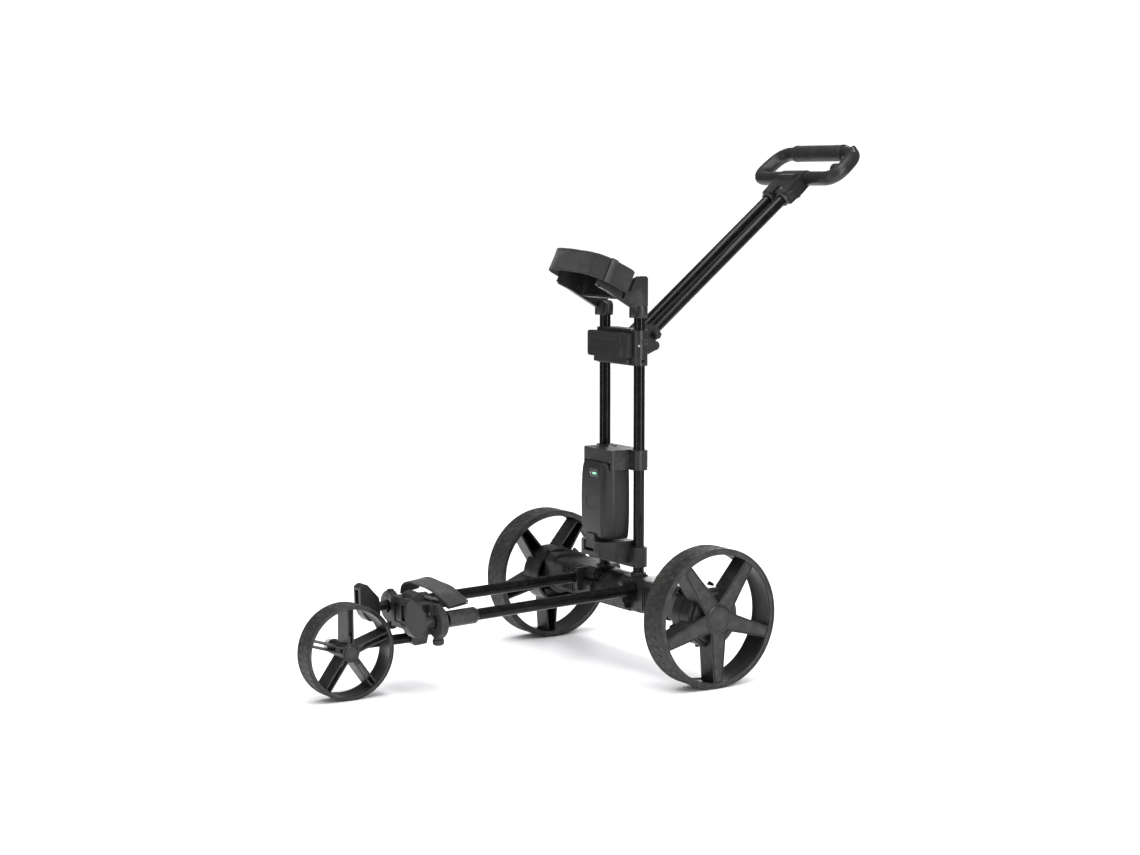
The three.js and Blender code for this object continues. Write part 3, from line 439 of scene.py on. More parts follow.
MOULDED = finish("moulded_black", (0.0095, 0.0095, 0.0102), (0.0120, 0.0120, 0.0127), 0.33,
                 0.05, grain=1100.0, depth=0.025, worn=(0.030, 0.030, 0.031), dust=0.04,
                 specular=0.36)
TUBE = finish("black_tube", (0.0032, 0.0032, 0.0036), (0.0042, 0.0042, 0.0046), 0.13, 0.02,
              grain=1500.0, depth=0.001, worn=(0.012, 0.012, 0.012), dust=0.01, coat=0.15,
              coat_rough=0.03, stretch=(1, 1, 0.08), specular=0.08)
TYRE = finish("tyre_band", (0.0125, 0.0120, 0.0114), (0.0165, 0.0160, 0.0150), 0.58, 0.08,
              grain=420.0, depth=0.05, worn=(0.03, 0.029, 0.028), dust=0.2, specular=0.35)
GRIP = finish("grip_rubber", (0.010, 0.010, 0.011), (0.013, 0.013, 0.014), 0.5, 0.08,
              grain=800.0, depth=0.05, worn=(0.03, 0.03, 0.03), dust=0.05, specular=0.36)
STEEL = finish("plain_steel", (0.36, 0.36, 0.37), (0.46, 0.46, 0.47), 0.30, 0.12,
               grain=1800.0, depth=0.01, worn=(0.6, 0.6, 0.6), dust=0.1, metallic=1.0)
NYLON = finish("pale_nylon", (0.30, 0.30, 0.28), (0.38, 0.38, 0.355), 0.4, 0.08,
               grain=700.0, depth=0.03, worn=(0.5, 0.5, 0.47), dust=0.2)
MOTOR = finish("motor_can", (0.05, 0.05, 0.052), (0.075, 0.075, 0.078), 0.34, 0.1,
               grain=1300.0, depth=0.015, metallic=1.0, dust=0.1)
TRIM = finish("gloss_trim", (0.008, 0.008, 0.009), (0.011, 0.011, 0.012), 0.2, 0.04,
              grain=1500.0, depth=0.004, worn=(0.03, 0.03, 0.03), dust=0.03, coat=0.4)
print("recipe materials", len(bpy.data.materials))

# %% [markdown]
# Webbing needs a pattern that follows the strap, so it reads the strap's own UV map, laid
# out in millimetres. Two crossed waves give the over and under of a twill, and a ragged
# third one the loose hairs. The lens is a small lit window, green like a charge light.

# %% Webbing and lens


def weave_group():
    tree, given, made = effect_group(
        "webbing_weave", [("Place", VECTOR, None), ("Pitch", NUMBER, 1.7)],
        [("Height", NUMBER), ("Tone", NUMBER)])
    split = tree.nodes.new("ShaderNodeSeparateXYZ")
    tree.links.new(given.outputs["Place"], split.inputs[0])
    turns = maths(tree, "DIVIDE", 2 * math.pi)
    tree.links.new(given.outputs["Pitch"], turns.node.inputs[1])
    along = maths(tree, "MULTIPLY", split.outputs["X"], turns)
    across = maths(tree, "MULTIPLY", split.outputs["Y"], turns)
    twill = maths(tree, "SINE", maths(tree, "ADD", along, across))
    rib = maths(tree, "ABSOLUTE", maths(tree, "SINE", maths(tree, "MULTIPLY", across, 0.5)))
    hairs = noise(tree, 3.0, 4.0, 0.7)
    tree.links.new(given.outputs["Place"], hairs.inputs["Vector"])
    height = maths(tree, "ADD", maths(tree, "MULTIPLY", twill, 0.3),
                   maths(tree, "MULTIPLY", rib, 0.6))
    height = maths(tree, "ADD", height, maths(tree, "MULTIPLY", hairs.outputs["Fac"], 0.5))
    link_chain(tree, (height, made.inputs["Height"]),
               (span(tree, height, 0.2, 1.3), made.inputs["Tone"]))
    return tree


def webbing_material(name, dark, light):
    material, tree, shader = start_material(name)
    chart = tree.nodes.new("ShaderNodeUVMap")
    chart.uv_map = "strap"
    cloth = placed(tree, WEAVE, chart.outputs["UV"], {"Pitch": 1.7})
    where = tree.nodes.new("ShaderNodeTexCoord")
    powder = placed(tree, DUST, where.outputs["Object"], {"Amount": 0.3})
    tone = mixed(tree, cloth.outputs["Tone"], dark, light)
    tone = mixed(tree, powder.outputs["Mask"], tone, (0.12, 0.115, 0.10))
    bump = tree.nodes.new("ShaderNodeBump")
    bump.inputs["Strength"].default_value = 0.7
    bump.inputs["Distance"].default_value = 0.25 * MM
    link_chain(tree, (tone, shader.inputs["Base Color"]),
               (cloth.outputs["Height"], bump.inputs["Height"]),
               (bump.outputs["Normal"], shader.inputs["Normal"]))
    shader.inputs["Roughness"].default_value = 0.85
    shader.inputs["Sheen Weight"].default_value = 0.25
    shader.inputs["Sheen Roughness"].default_value = 0.4
    return material


def lens_material():
    material, tree, shader = start_material("indicator_green")
    where = tree.nodes.new("ShaderNodeTexCoord")
    cells = tree.nodes.new("ShaderNodeTexVoronoi")
    cells.inputs["Scale"].default_value = 240.0
    tree.links.new(where.outputs["Object"], cells.inputs["Vector"])
    spots = span(tree, cells.outputs["Distance"], 0.1, 0.75)
    tone = mixed(tree, spots, (0.55, 0.95, 0.70), (0.10, 0.62, 0.28))
    link_chain(tree, (tone, shader.inputs["Base Color"]),
               (tone, shader.inputs["Emission Color"]))
    shader.inputs["Emission Strength"].default_value = 0.45
    shader.inputs["Roughness"].default_value = 0.2
    return material


WEAVE = weave_group()
WEBBING = webbing_material("webbing", (0.005, 0.005, 0.0055), (0.020, 0.020, 0.022))
LENS = lens_material()
print("materials", sorted(m.name for m in bpy.data.materials if m.use_nodes)[:12])

# %% [markdown]
# A finished piece has its place in its mesh, smooth faces with true corners, and a thin
# bevel that catches the light. It then rides on the body that carries it, and hides the
# measured nodes that it stands for.

# %% Finishing a piece


def soften(obj, width, segments=2, angle=30):
    bevel = obj.modifiers.new("edge", "BEVEL")
    bevel.width, bevel.segments = width * MM, segments
    bevel.limit_method, bevel.angle_limit = "ANGLE", math.radians(angle)
    bevel.harden_normals = True
    bevel.use_clamp_overlap = True


def settle(obj, material, body, nodes=(), sharp=32, bevel=0.0, segments=2):
    """Shading, material, bevel, body and the measured nodes it stands for."""
    mesh = obj.data
    mesh.materials.clear()
    mesh.materials.append(material)
    mesh.shade_smooth()
    mesh.set_sharp_from_angle(angle=math.radians(sharp))
    if bevel:
        soften(obj, bevel, segments)
    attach(obj, body)
    if nodes:
        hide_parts(*nodes)
    return obj


def piece(name, bm, place, material, body, nodes=(), sharp=32, bevel=0.0, segments=2):
    obj = mesh_object(name, bm)
    obj.data.transform(place)
    return settle(obj, material, body, nodes, sharp, bevel, segments)


# %% [markdown]
# Whatever repeats is left to Geometry Nodes: spokes round a hub, ribs in a row, screws on
# a plate, stitches along a strap, and the tubes, which are a circle swept along a line.
# Each tree has named inputs, so the same tree serves many pieces with other numbers.

# %% Geometry Nodes helpers

INTEGER, OBJECT, MATTER = "NodeSocketInt", "NodeSocketObject", "NodeSocketMaterial"
GEOMETRY = "NodeSocketGeometry"


def growing_tree(name, inputs):
    """A geometry tree with a Geometry input, named inputs and a Material input."""
    tree = bpy.data.node_groups.new(name, "GeometryNodeTree")
    tree.interface.new_socket("Geometry", in_out="INPUT", socket_type=GEOMETRY)
    for label, kind, value in inputs:
        socket = tree.interface.new_socket(label, in_out="INPUT", socket_type=kind)
        if value is not None:
            socket.default_value = value
    tree.interface.new_socket("Material", in_out="INPUT", socket_type=MATTER)
    tree.interface.new_socket("Geometry", in_out="OUTPUT", socket_type=GEOMETRY)
    return tree, tree.nodes.new("NodeGroupInput")


def close_tree(tree, given, geometry):
    """Real geometry with its material, as the tree's result."""
    real = tree.nodes.new("GeometryNodeRealizeInstances")
    paint = tree.nodes.new("GeometryNodeSetMaterial")
    made = tree.nodes.new("NodeGroupOutput")
    link_chain(tree, (geometry, real.inputs[0]), (real.outputs[0], paint.inputs[0]),
               (given.outputs["Material"], paint.inputs["Material"]),
               (paint.outputs[0], made.inputs[0]))
    return tree


def copy_source(tree, given):
    node = tree.nodes.new("GeometryNodeObjectInfo")
    tree.links.new(given.outputs["Copy"], node.inputs["Object"])
    return node.outputs["Geometry"]


def grow(name, tree, values, place, material, body, nodes=(), path=None, sharp=32,
         bevel=0.0, segments=2):
    """Runs a tree on an empty mesh or a path, and settles the plain mesh it gives."""
    obj = path or mesh_object(name, bmesh.new())
    obj.name = name
    step = obj.modifiers.new("grow", "NODES")
    step.node_group = tree
    for item in tree.interface.items_tree:
        if item.in_out == "INPUT" and item.name in values:
            step[item.identifier] = values[item.name]
        elif item.in_out == "INPUT" and item.name == "Material":
            step[item.identifier] = material
    mesh, old = evaluated(obj), obj.data
    obj.modifiers.remove(step)
    obj.data = mesh
    bpy.data.meshes.remove(old)
    for value in values.values():
        if isinstance(value, bpy.types.Object):
            drop(value)
    mesh.name = name
    mesh.transform(place)
    return settle(obj, material, body, nodes, sharp, bevel, segments)


print("growing helpers ready")

# %% [markdown]
# The first two trees set copies round an axis or in a row. A wheel's spokes follow such a
# rule, so one spoke is drawn and the tree turns it round the hub.

# %% Trees for rings, rows and points


def ring_tree():
    tree, given = growing_tree("ring_of_copies", [
        ("Copy", OBJECT, None), ("Count", INTEGER, 5), ("First Turn", NUMBER, 0.0)])
    points = tree.nodes.new("GeometryNodePoints")
    index = tree.nodes.new("GeometryNodeInputIndex")
    put = tree.nodes.new("GeometryNodeInstanceOnPoints")
    turn = tree.nodes.new("ShaderNodeCombineXYZ")
    part = maths(tree, "DIVIDE", 2 * math.pi)
    step = maths(tree, "MULTIPLY", index.outputs[0], part)
    link_chain(tree, (given.outputs["Count"], points.inputs["Count"]),
               (given.outputs["Count"], part.node.inputs[1]),
               (maths(tree, "ADD", step, given.outputs["First Turn"]), turn.inputs["X"]),
               (points.outputs[0], put.inputs["Points"]),
               (copy_source(tree, given), put.inputs["Instance"]),
               (turn.outputs[0], put.inputs["Rotation"]))
    return close_tree(tree, given, put.outputs[0])


def row_tree():
    tree, given = growing_tree("row_of_copies", [
        ("Copy", OBJECT, None), ("Count", INTEGER, 5), ("Step", VECTOR, (0, 0, 1))])
    points = tree.nodes.new("GeometryNodePoints")
    index = tree.nodes.new("GeometryNodeInputIndex")
    put = tree.nodes.new("GeometryNodeInstanceOnPoints")
    away = tree.nodes.new("ShaderNodeVectorMath")
    away.operation = "SCALE"
    link_chain(tree, (given.outputs["Count"], points.inputs["Count"]),
               (given.outputs["Step"], away.inputs[0]),
               (index.outputs[0], away.inputs["Scale"]),
               (away.outputs[0], points.inputs["Position"]),
               (points.outputs[0], put.inputs["Points"]),
               (copy_source(tree, given), put.inputs["Instance"]))
    return close_tree(tree, given, put.outputs[0])


def fastener_tree():
    """A copy on every point of a mesh, its z turned to the point's own aim."""
    tree, given = growing_tree("fasteners_on_points", [("Copy", OBJECT, None)])
    aim = tree.nodes.new("GeometryNodeInputNamedAttribute")
    aim.data_type = "FLOAT_VECTOR"
    aim.inputs["Name"].default_value = "aim"
    turn = tree.nodes.new("FunctionNodeAlignRotationToVector")
    turn.axis = "Z"
    put = tree.nodes.new("GeometryNodeInstanceOnPoints")
    link_chain(tree, (aim.outputs[0], turn.inputs["Vector"]),
               (given.outputs["Geometry"], put.inputs["Points"]),
               (copy_source(tree, given), put.inputs["Instance"]),
               (turn.outputs[0], put.inputs["Rotation"]))
    return close_tree(tree, given, put.outputs[0])


def stitch_tree():
    """Copies at even steps along a path, lying along it and facing the path's aim."""
    tree, given = growing_tree("stitches_along_path", [
        ("Copy", OBJECT, None), ("Pitch", NUMBER, 3.0), ("Seed", INTEGER, 4)])
    curve = tree.nodes.new("GeometryNodeMeshToCurve")
    even = tree.nodes.new("GeometryNodeResampleCurve")
    even.mode = "LENGTH"
    tangent = tree.nodes.new("GeometryNodeInputTangent")
    aim = tree.nodes.new("GeometryNodeInputNamedAttribute")
    aim.data_type = "FLOAT_VECTOR"
    aim.inputs["Name"].default_value = "aim"
    lie = tree.nodes.new("FunctionNodeAlignRotationToVector")
    lie.axis = "X"
    face = tree.nodes.new("FunctionNodeAlignRotationToVector")
    face.axis, face.pivot_axis = "Z", "X"
    size = tree.nodes.new("FunctionNodeRandomValue")
    size.inputs[2].default_value, size.inputs[3].default_value = 0.9, 1.1
    put = tree.nodes.new("GeometryNodeInstanceOnPoints")
    link_chain(tree, (given.outputs["Geometry"], curve.inputs[0]),
               (curve.outputs[0], even.inputs["Curve"]),
               (given.outputs["Pitch"], even.inputs["Length"]),
               (tangent.outputs[0], lie.inputs["Vector"]),
               (lie.outputs[0], face.inputs["Rotation"]),
               (aim.outputs[0], face.inputs["Vector"]),
               (given.outputs["Seed"], size.inputs["Seed"]),
               (even.outputs[0], put.inputs["Points"]),
               (copy_source(tree, given), put.inputs["Instance"]),
               (face.outputs[0], put.inputs["Rotation"]),
               (size.outputs[1], put.inputs["Scale"]))
    return close_tree(tree, given, put.outputs[0])


RING_TREE, ROW_TREE = ring_tree(), row_tree()
FASTENER_TREE, STITCH_TREE = fastener_tree(), stitch_tree()
print("trees", [t.name for t in bpy.data.node_groups if t.type == "GEOMETRY"])

# %% [markdown]
# The frame is all tube. A tube is a circle swept along its line, so two more trees do
# that: one for a straight run between two points, one for any bent path.

# %% Trees for tubes


def swept(tree, given, curve):
    ring = tree.nodes.new("GeometryNodeCurvePrimitiveCircle")
    skin = tree.nodes.new("GeometryNodeCurveToMesh")
    skin.inputs["Fill Caps"].default_value = True
    link_chain(tree, (given.outputs["Sides"], ring.inputs["Resolution"]),
               (given.outputs["Radius"], ring.inputs["Radius"]),
               (curve, skin.inputs["Curve"]),
               (ring.outputs[0], skin.inputs["Profile Curve"]))
    return close_tree(tree, given, skin.outputs[0])


def tube_tree():
    tree, given = growing_tree("straight_tube", [
        ("Start", VECTOR, (0, 0, 0)), ("End", VECTOR, (0, 0, 100)),
        ("Radius", NUMBER, 11.1), ("Sides", INTEGER, 48)])
    line = tree.nodes.new("GeometryNodeCurvePrimitiveLine")
    link_chain(tree, (given.outputs["Start"], line.inputs["Start"]),
               (given.outputs["End"], line.inputs["End"]))
    return swept(tree, given, line.outputs[0])


def bend_tree():
    tree, given = growing_tree("bent_tube", [
        ("Radius", NUMBER, 13.0), ("Sides", INTEGER, 40)])
    curve = tree.nodes.new("GeometryNodeMeshToCurve")
    tree.links.new(given.outputs["Geometry"], curve.inputs[0])
    return swept(tree, given, curve.outputs[0])


TUBE_TREE, BEND_TREE = tube_tree(), bend_tree()
TUBE_R = 11.1


def tube(name, start, end, place, body, nodes, material=TUBE, radius=TUBE_R):
    return grow(name, TUBE_TREE, {"Start": start, "End": end, "Radius": radius}, place,
                material, body, nodes, sharp=50, bevel=0.8)


print("tube trees ready")

# %% [markdown]
# Each wheel rolls on a thin wide band of rubber with a slim lip at each side. Its tread
# is only a faint pattern of low blocks. One small copy holds a block of every row, three
# rows at the back and two in front, and the ring tree turns it round the tyre.

# %% Tyres


def path_object(points, aims=None, closed=False):
    """A chain of edges in millimetres, each point with an optional aim."""
    mesh = bpy.data.meshes.new("path")
    edges = [(i, i + 1) for i in range(len(points) - 1)]
    if closed:
        edges.append((len(points) - 1, 0))
    mesh.from_pydata([tuple(p) for p in points], edges, [])
    if aims:
        layer = mesh.attributes.new("aim", "FLOAT_VECTOR", "POINT")
        layer.data.foreach_set("vector", [c for aim in aims for c in aim])
    obj = bpy.data.objects.new("path", mesh)
    bpy.context.scene.collection.objects.link(obj)
    return obj


def tyre_profile(inner, outer, half, lip):
    side = [(inner, half), (outer - 1.6, half), (outer - 0.5, half - 0.5), (outer, half - 2),
            (outer, half - 2 - lip), (outer - 0.7, half - 3 - lip)]
    return side + [(r, -x) for r, x in reversed(side)]


def tread_block(rows, low, high, long, wide):
    unit = bmesh.new()
    for i, (x, lead) in enumerate(rows):
        outline = rounded([(x - wide / 2, lead - long / 2), (x + wide / 2, lead - long / 3),
                           (x + wide / 2, lead + long / 2), (x - wide / 2, lead + long / 3)],
                          1.0, 2)
        prism(unit, "z", outline, low, high - 0.05 * (i % 2))
    return mesh_object("tread_block", unit)


REAR_BLOCKS, NOSE_BLOCKS = 44, 40
for side, sign in SIDES:
    wheel, body = WHEEL[side], f"{side}_rear_wheel"
    piece(f"{side}_tyre_band", fresh((lathe, tyre_profile(130.4, REAR_R, 29, 2.4), 128)),
          wheel, TYRE, body, [f"{side}_rear_tyre"], sharp=40)
    unit = tread_block([(-16, 0), (0, 9), (16, 0)], 133.0, 134.5, 11.5, 14)
    grow(f"{side}_tyre_tread", RING_TREE, {"Copy": unit, "Count": REAR_BLOCKS}, wheel,
         TYRE, body, sharp=50)
piece("nose_tyre_band", fresh((lathe, tyre_profile(86.6, FRONT_R, 23, 2.0), 112)),
      NOSE_WHEEL, TYRE, "front_wheel", ["front_tyre"], sharp=40)
unit = tread_block([(-9, 0), (9, 5)], 88.4, 89.5, 8.5, 14)
grow("nose_tyre_tread", RING_TREE, {"Copy": unit, "Count": NOSE_BLOCKS}, NOSE_WHEEL,
     TYRE, "front_wheel", sharp=50)
print("tyre bands 3, tread blocks", 2 * REAR_BLOCKS * 3 + NOSE_BLOCKS * 2)

# %% [markdown]
# A rear wheel is one moulding: a rim with a hollow inner face, five spokes that are
# channels open to the inside, and a stepped drum that hides the clutch. A fine groove
# runs round each spoke's face. The spoke is cut once, then turned by the ring tree.

# %% Rear wheel mouldings

SPOKES = 5
FACE_X = 28.0
TAB_TURN = math.pi + math.radians(4)


def rear_spoke():
    outer = [(-19, 14), (19, 14), (10.5, 125.4), (-10.5, 125.4)]
    inner = [(-11.5, 61), (11.5, 61), (6.5, 122.8), (-6.5, 122.8)]
    spoke = combine(fresh((prism, "x", outer, -12, FACE_X)),
                    fresh((prism, "x", inner, -13, FACE_X - 4)))
    ring = combine(fresh((prism, "x", [(-16.3, 26), (16.3, 26), (8.9, 122.6), (-8.9, 122.6)],
                          FACE_X - 1.4, FACE_X + 1)),
                   fresh((prism, "x", [(-14.4, 27), (14.4, 27), (7.1, 120.8), (-7.1, 120.8)],
                          FACE_X - 3, FACE_X + 2)))
    return mesh_object("spoke", combine(spoke, ring))


RIM = [(123.6, -28.3), (130.1, -28.3), (130.1, 28.3), (123.6, 28.3), (122.9, 27.4),
       (122.9, 25.6), (124.4, 22), (126.4, 15), (126.4, -15), (124.4, -22), (122.9, -25.6),
       (122.9, -27.4)]
DRUM = [(0, -6), (14, -6), (15, -5), (15, 7), (53, 7), (53, -44.2), (53.8, -45),
        (57.2, -45), (58, -44.2), (58, -20), (57.3, -19.4), (57.3, -18.2), (58, -17.6),
        (58, 8), (56.6, 9.6), (52, 9.6), (51, 10.8), (51, 13.4), (49.6, 15), (43, 15),
        (42, 13.2), (38, 13.2), (37, 15), (0, 15)]
HUB = [(0, 11), (31.5, 11), (31.5, 26.6), (30.4, 28.4), (28.8, 28.4), (28.3, 25.2), (0, 25.2)]
CAP = [(0, 25.6), (28, 25.6), (28, 28.3), (26.6, 29.6), (24.2, 29.9), (23.8, 29.3),
       (23.2, 29.3), (22.8, 30), (0, 30.3)]
for side, sign in SIDES:
    wheel, body = WHEEL[side], f"{side}_rear_wheel"
    for part, line, steps, nodes in (("rim", RIM, 128, [f"{side}_rear_wheel"]),
                                     ("drum", DRUM, 96, []), ("hub", HUB, 80, []),
                                     ("cap", CAP, 80, [f"{side}_hub_cap"])):
        piece(f"{side}_wheel_{part}", fresh((lathe, line, steps)), wheel, MOULDED, body,
              nodes, sharp=40)
    grow(f"{side}_wheel_spokes", RING_TREE, {"Copy": rear_spoke(), "Count": SPOKES,
                                             "First Turn": math.pi},
         wheel, MOULDED, body, sharp=25, bevel=0.9)
    tab = fresh((prism, "x", rounded(rect(-6.5, 6.5, 55, 66.5), 2), -45, -40),
                (box, -40.1, -33, -1.2, 1.2, 57, 64))
    grow(f"{side}_drum_tabs", RING_TREE, {"Copy": mesh_object("tab", tab),
                                          "Count": SPOKES, "First Turn": TAB_TURN},
         wheel, MOULDED, body, bevel=0.5)
print("spokes", SPOKES * 2, "rim inner radius", RIM[4][0])

# %% [markdown]
# The small front wheel turns on one arm. Each of its five spokes is a pair of thin fins
# with a short web near the hub and another at the rim, so the light shows between them.

# %% Front wheel and its arm


def twin_fin():
    unit = bmesh.new()
    for y in (-5.2, 5.2):
        prism(unit, "x", [(y - 1.7, 14), (y + 1.7, 14), (y + 1.3, 83.4), (y - 1.3, 83.4)],
              -20, 20)
    prism(unit, "x", rect(-4.4, 4.4, 14, 31), -15, 15)
    prism(unit, "x", rect(-4.4, 4.4, 79.5, 83), -17, 17)
    return mesh_object("fin", unit)


FRONT_RIM = [(82.2, -22.5), (86.3, -22.5), (86.3, 22.5), (82.2, 22.5), (81.6, 21.6),
             (81.6, 20.4), (83, 17), (83.6, 0), (83, -17), (81.6, -20.4), (81.6, -21.6)]
FRONT_HUB = [(0, -22), (17, -22), (18, -21), (18, 21), (17, 22), (15.6, 22), (15.4, 19.4),
             (0, 19.4)]
FRONT_CAP = [(0, 19.6), (15, 19.6), (15, 22.4), (13.4, 23.6), (11.8, 23.7), (11.5, 23.2),
             (11.1, 23.2), (10.8, 23.8), (0, 24)]
for part, line, steps, nodes in (("rim", FRONT_RIM, 112, ["front_wheel"]),
                                 ("hub", FRONT_HUB, 64, []),
                                 ("cap", FRONT_CAP, 64, ["front_hub_cap"])):
    piece(f"nose_wheel_{part}", fresh((lathe, line, steps)), NOSE_WHEEL, MOULDED,
          "front_wheel", nodes, sharp=40)
grow("nose_wheel_fins", RING_TREE, {"Copy": twin_fin(), "Count": SPOKES}, NOSE_WHEEL,
     MOULDED, "front_wheel", bevel=0.5)
ARM = frame_at(-46, 0, FRONT_R)
tube("wheel_arm_tube", (0, -622, 0), (0, -470, 0), ARM, "chassis", ["front_wheel_arm"],
     radius=10)
piece("wheel_arm_boss", fresh((lathe, [(5.4, -11), (13.8, -11), (15, -9.8), (15, 9.8),
                                       (13.8, 11), (5.4, 11)], 48, "x", (NOSE_REACH, 0))),
      ARM, TUBE, "chassis", sharp=40)
KNOB = [(0, -21), (9.4, -21), (11, -19.4), (11, -2), (9.8, -0.4), (0, -0.4)]
KNOB_PLACE = frame_at(-57, NOSE_REACH, FRONT_R)
piece("wheel_nut_body", fresh((lathe, KNOB, 48)), KNOB_PLACE, NYLON, "chassis",
      ["front_axle_knob"], sharp=40)
flute = fresh((prism, "x", rounded(rect(-1.3, 1.3, 9, 12), 0.8), -18, -2))
grow("wheel_nut_flutes", RING_TREE, {"Copy": mesh_object("flute", flute), "Count": 16},
     KNOB_PLACE, NYLON, "chassis", bevel=0.3)
for node, skin in (("front_axle", STEEL), ("left_axle_shaft", STEEL),
                   ("right_axle_shaft", STEEL), ("left_fold_pin", TRIM),
                   ("right_fold_pin", TRIM), ("handle_hinge_pin", TRIM),
                   ("left_motor", MOTOR), ("right_motor", MOTOR)):
    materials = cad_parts[node].data.materials
    materials.clear()
    materials.append(skin)
print("front wheel pieces done")

# %% [markdown]
# The axle beam is a row of moulded housings: a long bridge in the middle, a knuckle at
# each side that grips a base tube, a motor housing, and a gearbox that reaches into the
# wheel's drum. Their outer shape is the measured one; the seams, ribs and covers that a
# mould leaves are cut into it or set on it here.

# %% Axle beam


def cast_bolt(name, radius, tall):
    """A low screw head with a hexagon socket, its z up."""
    head = fresh((lathe, [(0, -0.6), (radius, -0.6), (radius, tall * 0.55),
                          (radius * 0.8, tall), (0, tall)], 16, "z"))
    key = [(radius * 0.5 * math.cos(k * math.pi / 3), radius * 0.5 * math.sin(k * math.pi / 3))
           for k in range(6)]
    return mesh_object(name, combine(head, fresh((prism, "z", key, tall * 0.35, tall + 1))))


def fasteners(name, spots, place, material, body, radius=3.0, tall=1.8):
    """Screw heads at (point, aim) pairs."""
    spot_mesh = path_object([p for p, aim in spots], [aim for p, aim in spots])
    return grow(name, FASTENER_TREE, {"Copy": cast_bolt("bolt", radius, tall)}, place,
                material, body, path=spot_mesh, sharp=30)


def grooved(bm, *rings):
    """Cuts each ring: (axis, outline outside, outline inside, low, high)."""
    for axis, outside, inside, low, high in rings:
        tool = combine(fresh((prism, axis, outside, low, high)),
                       fresh((prism, axis, inside, low - 1, high + 1)))
        bm = combine(bm, tool)
    return bm


bridge = from_cad("axle_bridge")
for x in (-26, 26):
    bridge = combine(bridge, combine(fresh((rod, "x", 46, x - 0.5, x + 0.5, 0, 135, 48, 0.1)),
                                     fresh((rod, "x", 44.2, x - 1, x + 1, 0, 135, 48, 0.1))))
piece("axle_bridge_shell", bridge, CART, MOULDED, "chassis", ["axle_bridge"], bevel=0.8)
piece("controller_case", fresh((prism, "z", rounded(rect(-31, 31, -25, 25), 3), 119, 135)),
      CART, MOULDED, "chassis", ["motor_controller"], bevel=0.8)
for side, sign in SIDES:
    piece(f"{side}_knuckle_shell", from_cad(f"{side}_frame_knuckle"), CART, MOULDED,
          "chassis", [f"{side}_frame_knuckle"], bevel=1.4, segments=3)
    near, far = sorted((sign * 106.3, sign * 198.7))
    outer = rounded(rect(-42, 42, 115, 181), 14, 6)
    inner = rounded(rect(-38, 38, 119, 177), 10, 5)
    shell = combine(fresh((prism, "x", outer, near, far)),
                    fresh((prism, "x", inner, near - 1, far + 1)))
    seam = rounded(rect(-41.4, 41.4, 115.6, 180.4), 13.5, 6)
    wide = rounded(rect(-44, 44, 112, 184), 15, 6)
    shell = grooved(shell, *[("x", wide, seam, x - 0.5, x + 0.5)
                             for x in (near + 24, far - 24)])
    piece(f"{side}_motor_shell", shell, CART, MOULDED, "chassis",
          [f"{side}_motor_housing"], bevel=0.7)
    piece(f"{side}_gearbox_shell", from_cad(f"{side}_gearbox"), CART, MOULDED, "chassis",
          [f"{side}_gearbox"], bevel=2.2, segments=3)
    rib = mesh_object("rib", fresh((prism, "x", rounded(rect(-44.2, -41, 124, 172), 1), -1.1,
                                    1.1)))
    grow(f"{side}_cooling_ribs", ROW_TREE,
         {"Copy": rib, "Count": 7, "Step": (sign * 7.0, 0, 0)}, frame_at(sign * 122, 0, 0),
         MOULDED, "chassis", bevel=0.4)
    low, high = sorted((sign * 46, sign * 76))
    block = fresh((prism, "x", rounded([(-54, 122), (-20, 118), (-20, 155), (-48, 155),
                                        (-54, 149)], [6, 2, 2, 5, 4]), low, high))
    piece(f"{side}_beam_shoulder", block, CART, MOULDED, "chassis", bevel=1.2, segments=3)
print("axle beam pieces", 2 + 5 * 2)

# %% [markdown]
# Two anodised tubes run forward from the knuckles. Each ends in a sleeve, a round clamp
# with a stub above and a knob below, and a wing that turns to hug the foot of a bag.

# %% Base tubes, sleeves and clamps

SLEEVE = [(11.5, -468), (14.8, -468), (15.8, -467), (15.8, -412), (15.2, -411.4),
          (15.2, -410.6), (15.8, -410), (15.8, -408), (12.6, -403), (11.5, -403)]
CLAMP_Y = -486
CLAMP = [(11.5, -494), (28.4, -494), (31, -491.4), (31, -487.2), (30.4, -486.7),
         (30.4, -485.7), (31, -485.2), (31, -480.6), (28.4, -478), (11.5, -478)]
for side, sign in SIDES:
    rail = RAIL[side]
    tube(f"{side}_rail_tube", (0, -497, 0), (0, -30, 0), rail, "chassis",
         [f"{side}_base_tube"])
    piece(f"{side}_rail_sleeve", fresh((lathe, SLEEVE, 56, "y")), rail, MOULDED,
          "chassis", [f"{side}_front_sleeve"], sharp=38)
    disc = fresh((lathe, CLAMP, 72, "y", (0, -2.5)))
    piece(f"{side}_clamp_disc", disc, rail, MOULDED, "chassis",
          [f"{side}_front_clamp"], sharp=38)
    stub = fresh((lathe, [(0, 14), (7.5, 14), (7.5, 29), (6, 31), (0, 31)], 32, "z",
                  (0, CLAMP_Y)),
                 (prism, "z", rounded(rect(-9, 9, CLAMP_Y - 8, CLAMP_Y + 8), 2), 16, 27))
    piece(f"{side}_clamp_stub", stub, rail, MOULDED, "chassis", bevel=0.8, segments=3)
    knob = fresh((lathe, [(0, -46), (8.6, -46), (11, -43.6), (11, -36), (9.2, -34.4),
                          (9.2, -30), (0, -30)], 40, "z", (0, CLAMP_Y)))
    piece(f"{side}_clamp_knob", knob, rail, MOULDED, "chassis", sharp=38)
    fasteners(f"{side}_clamp_bolts", [((-sign * 14, -494.2, 12), (0, -1, 0))], rail, STEEL,
              "chassis", 2.8, 1.6)
    print(side, "rail set")

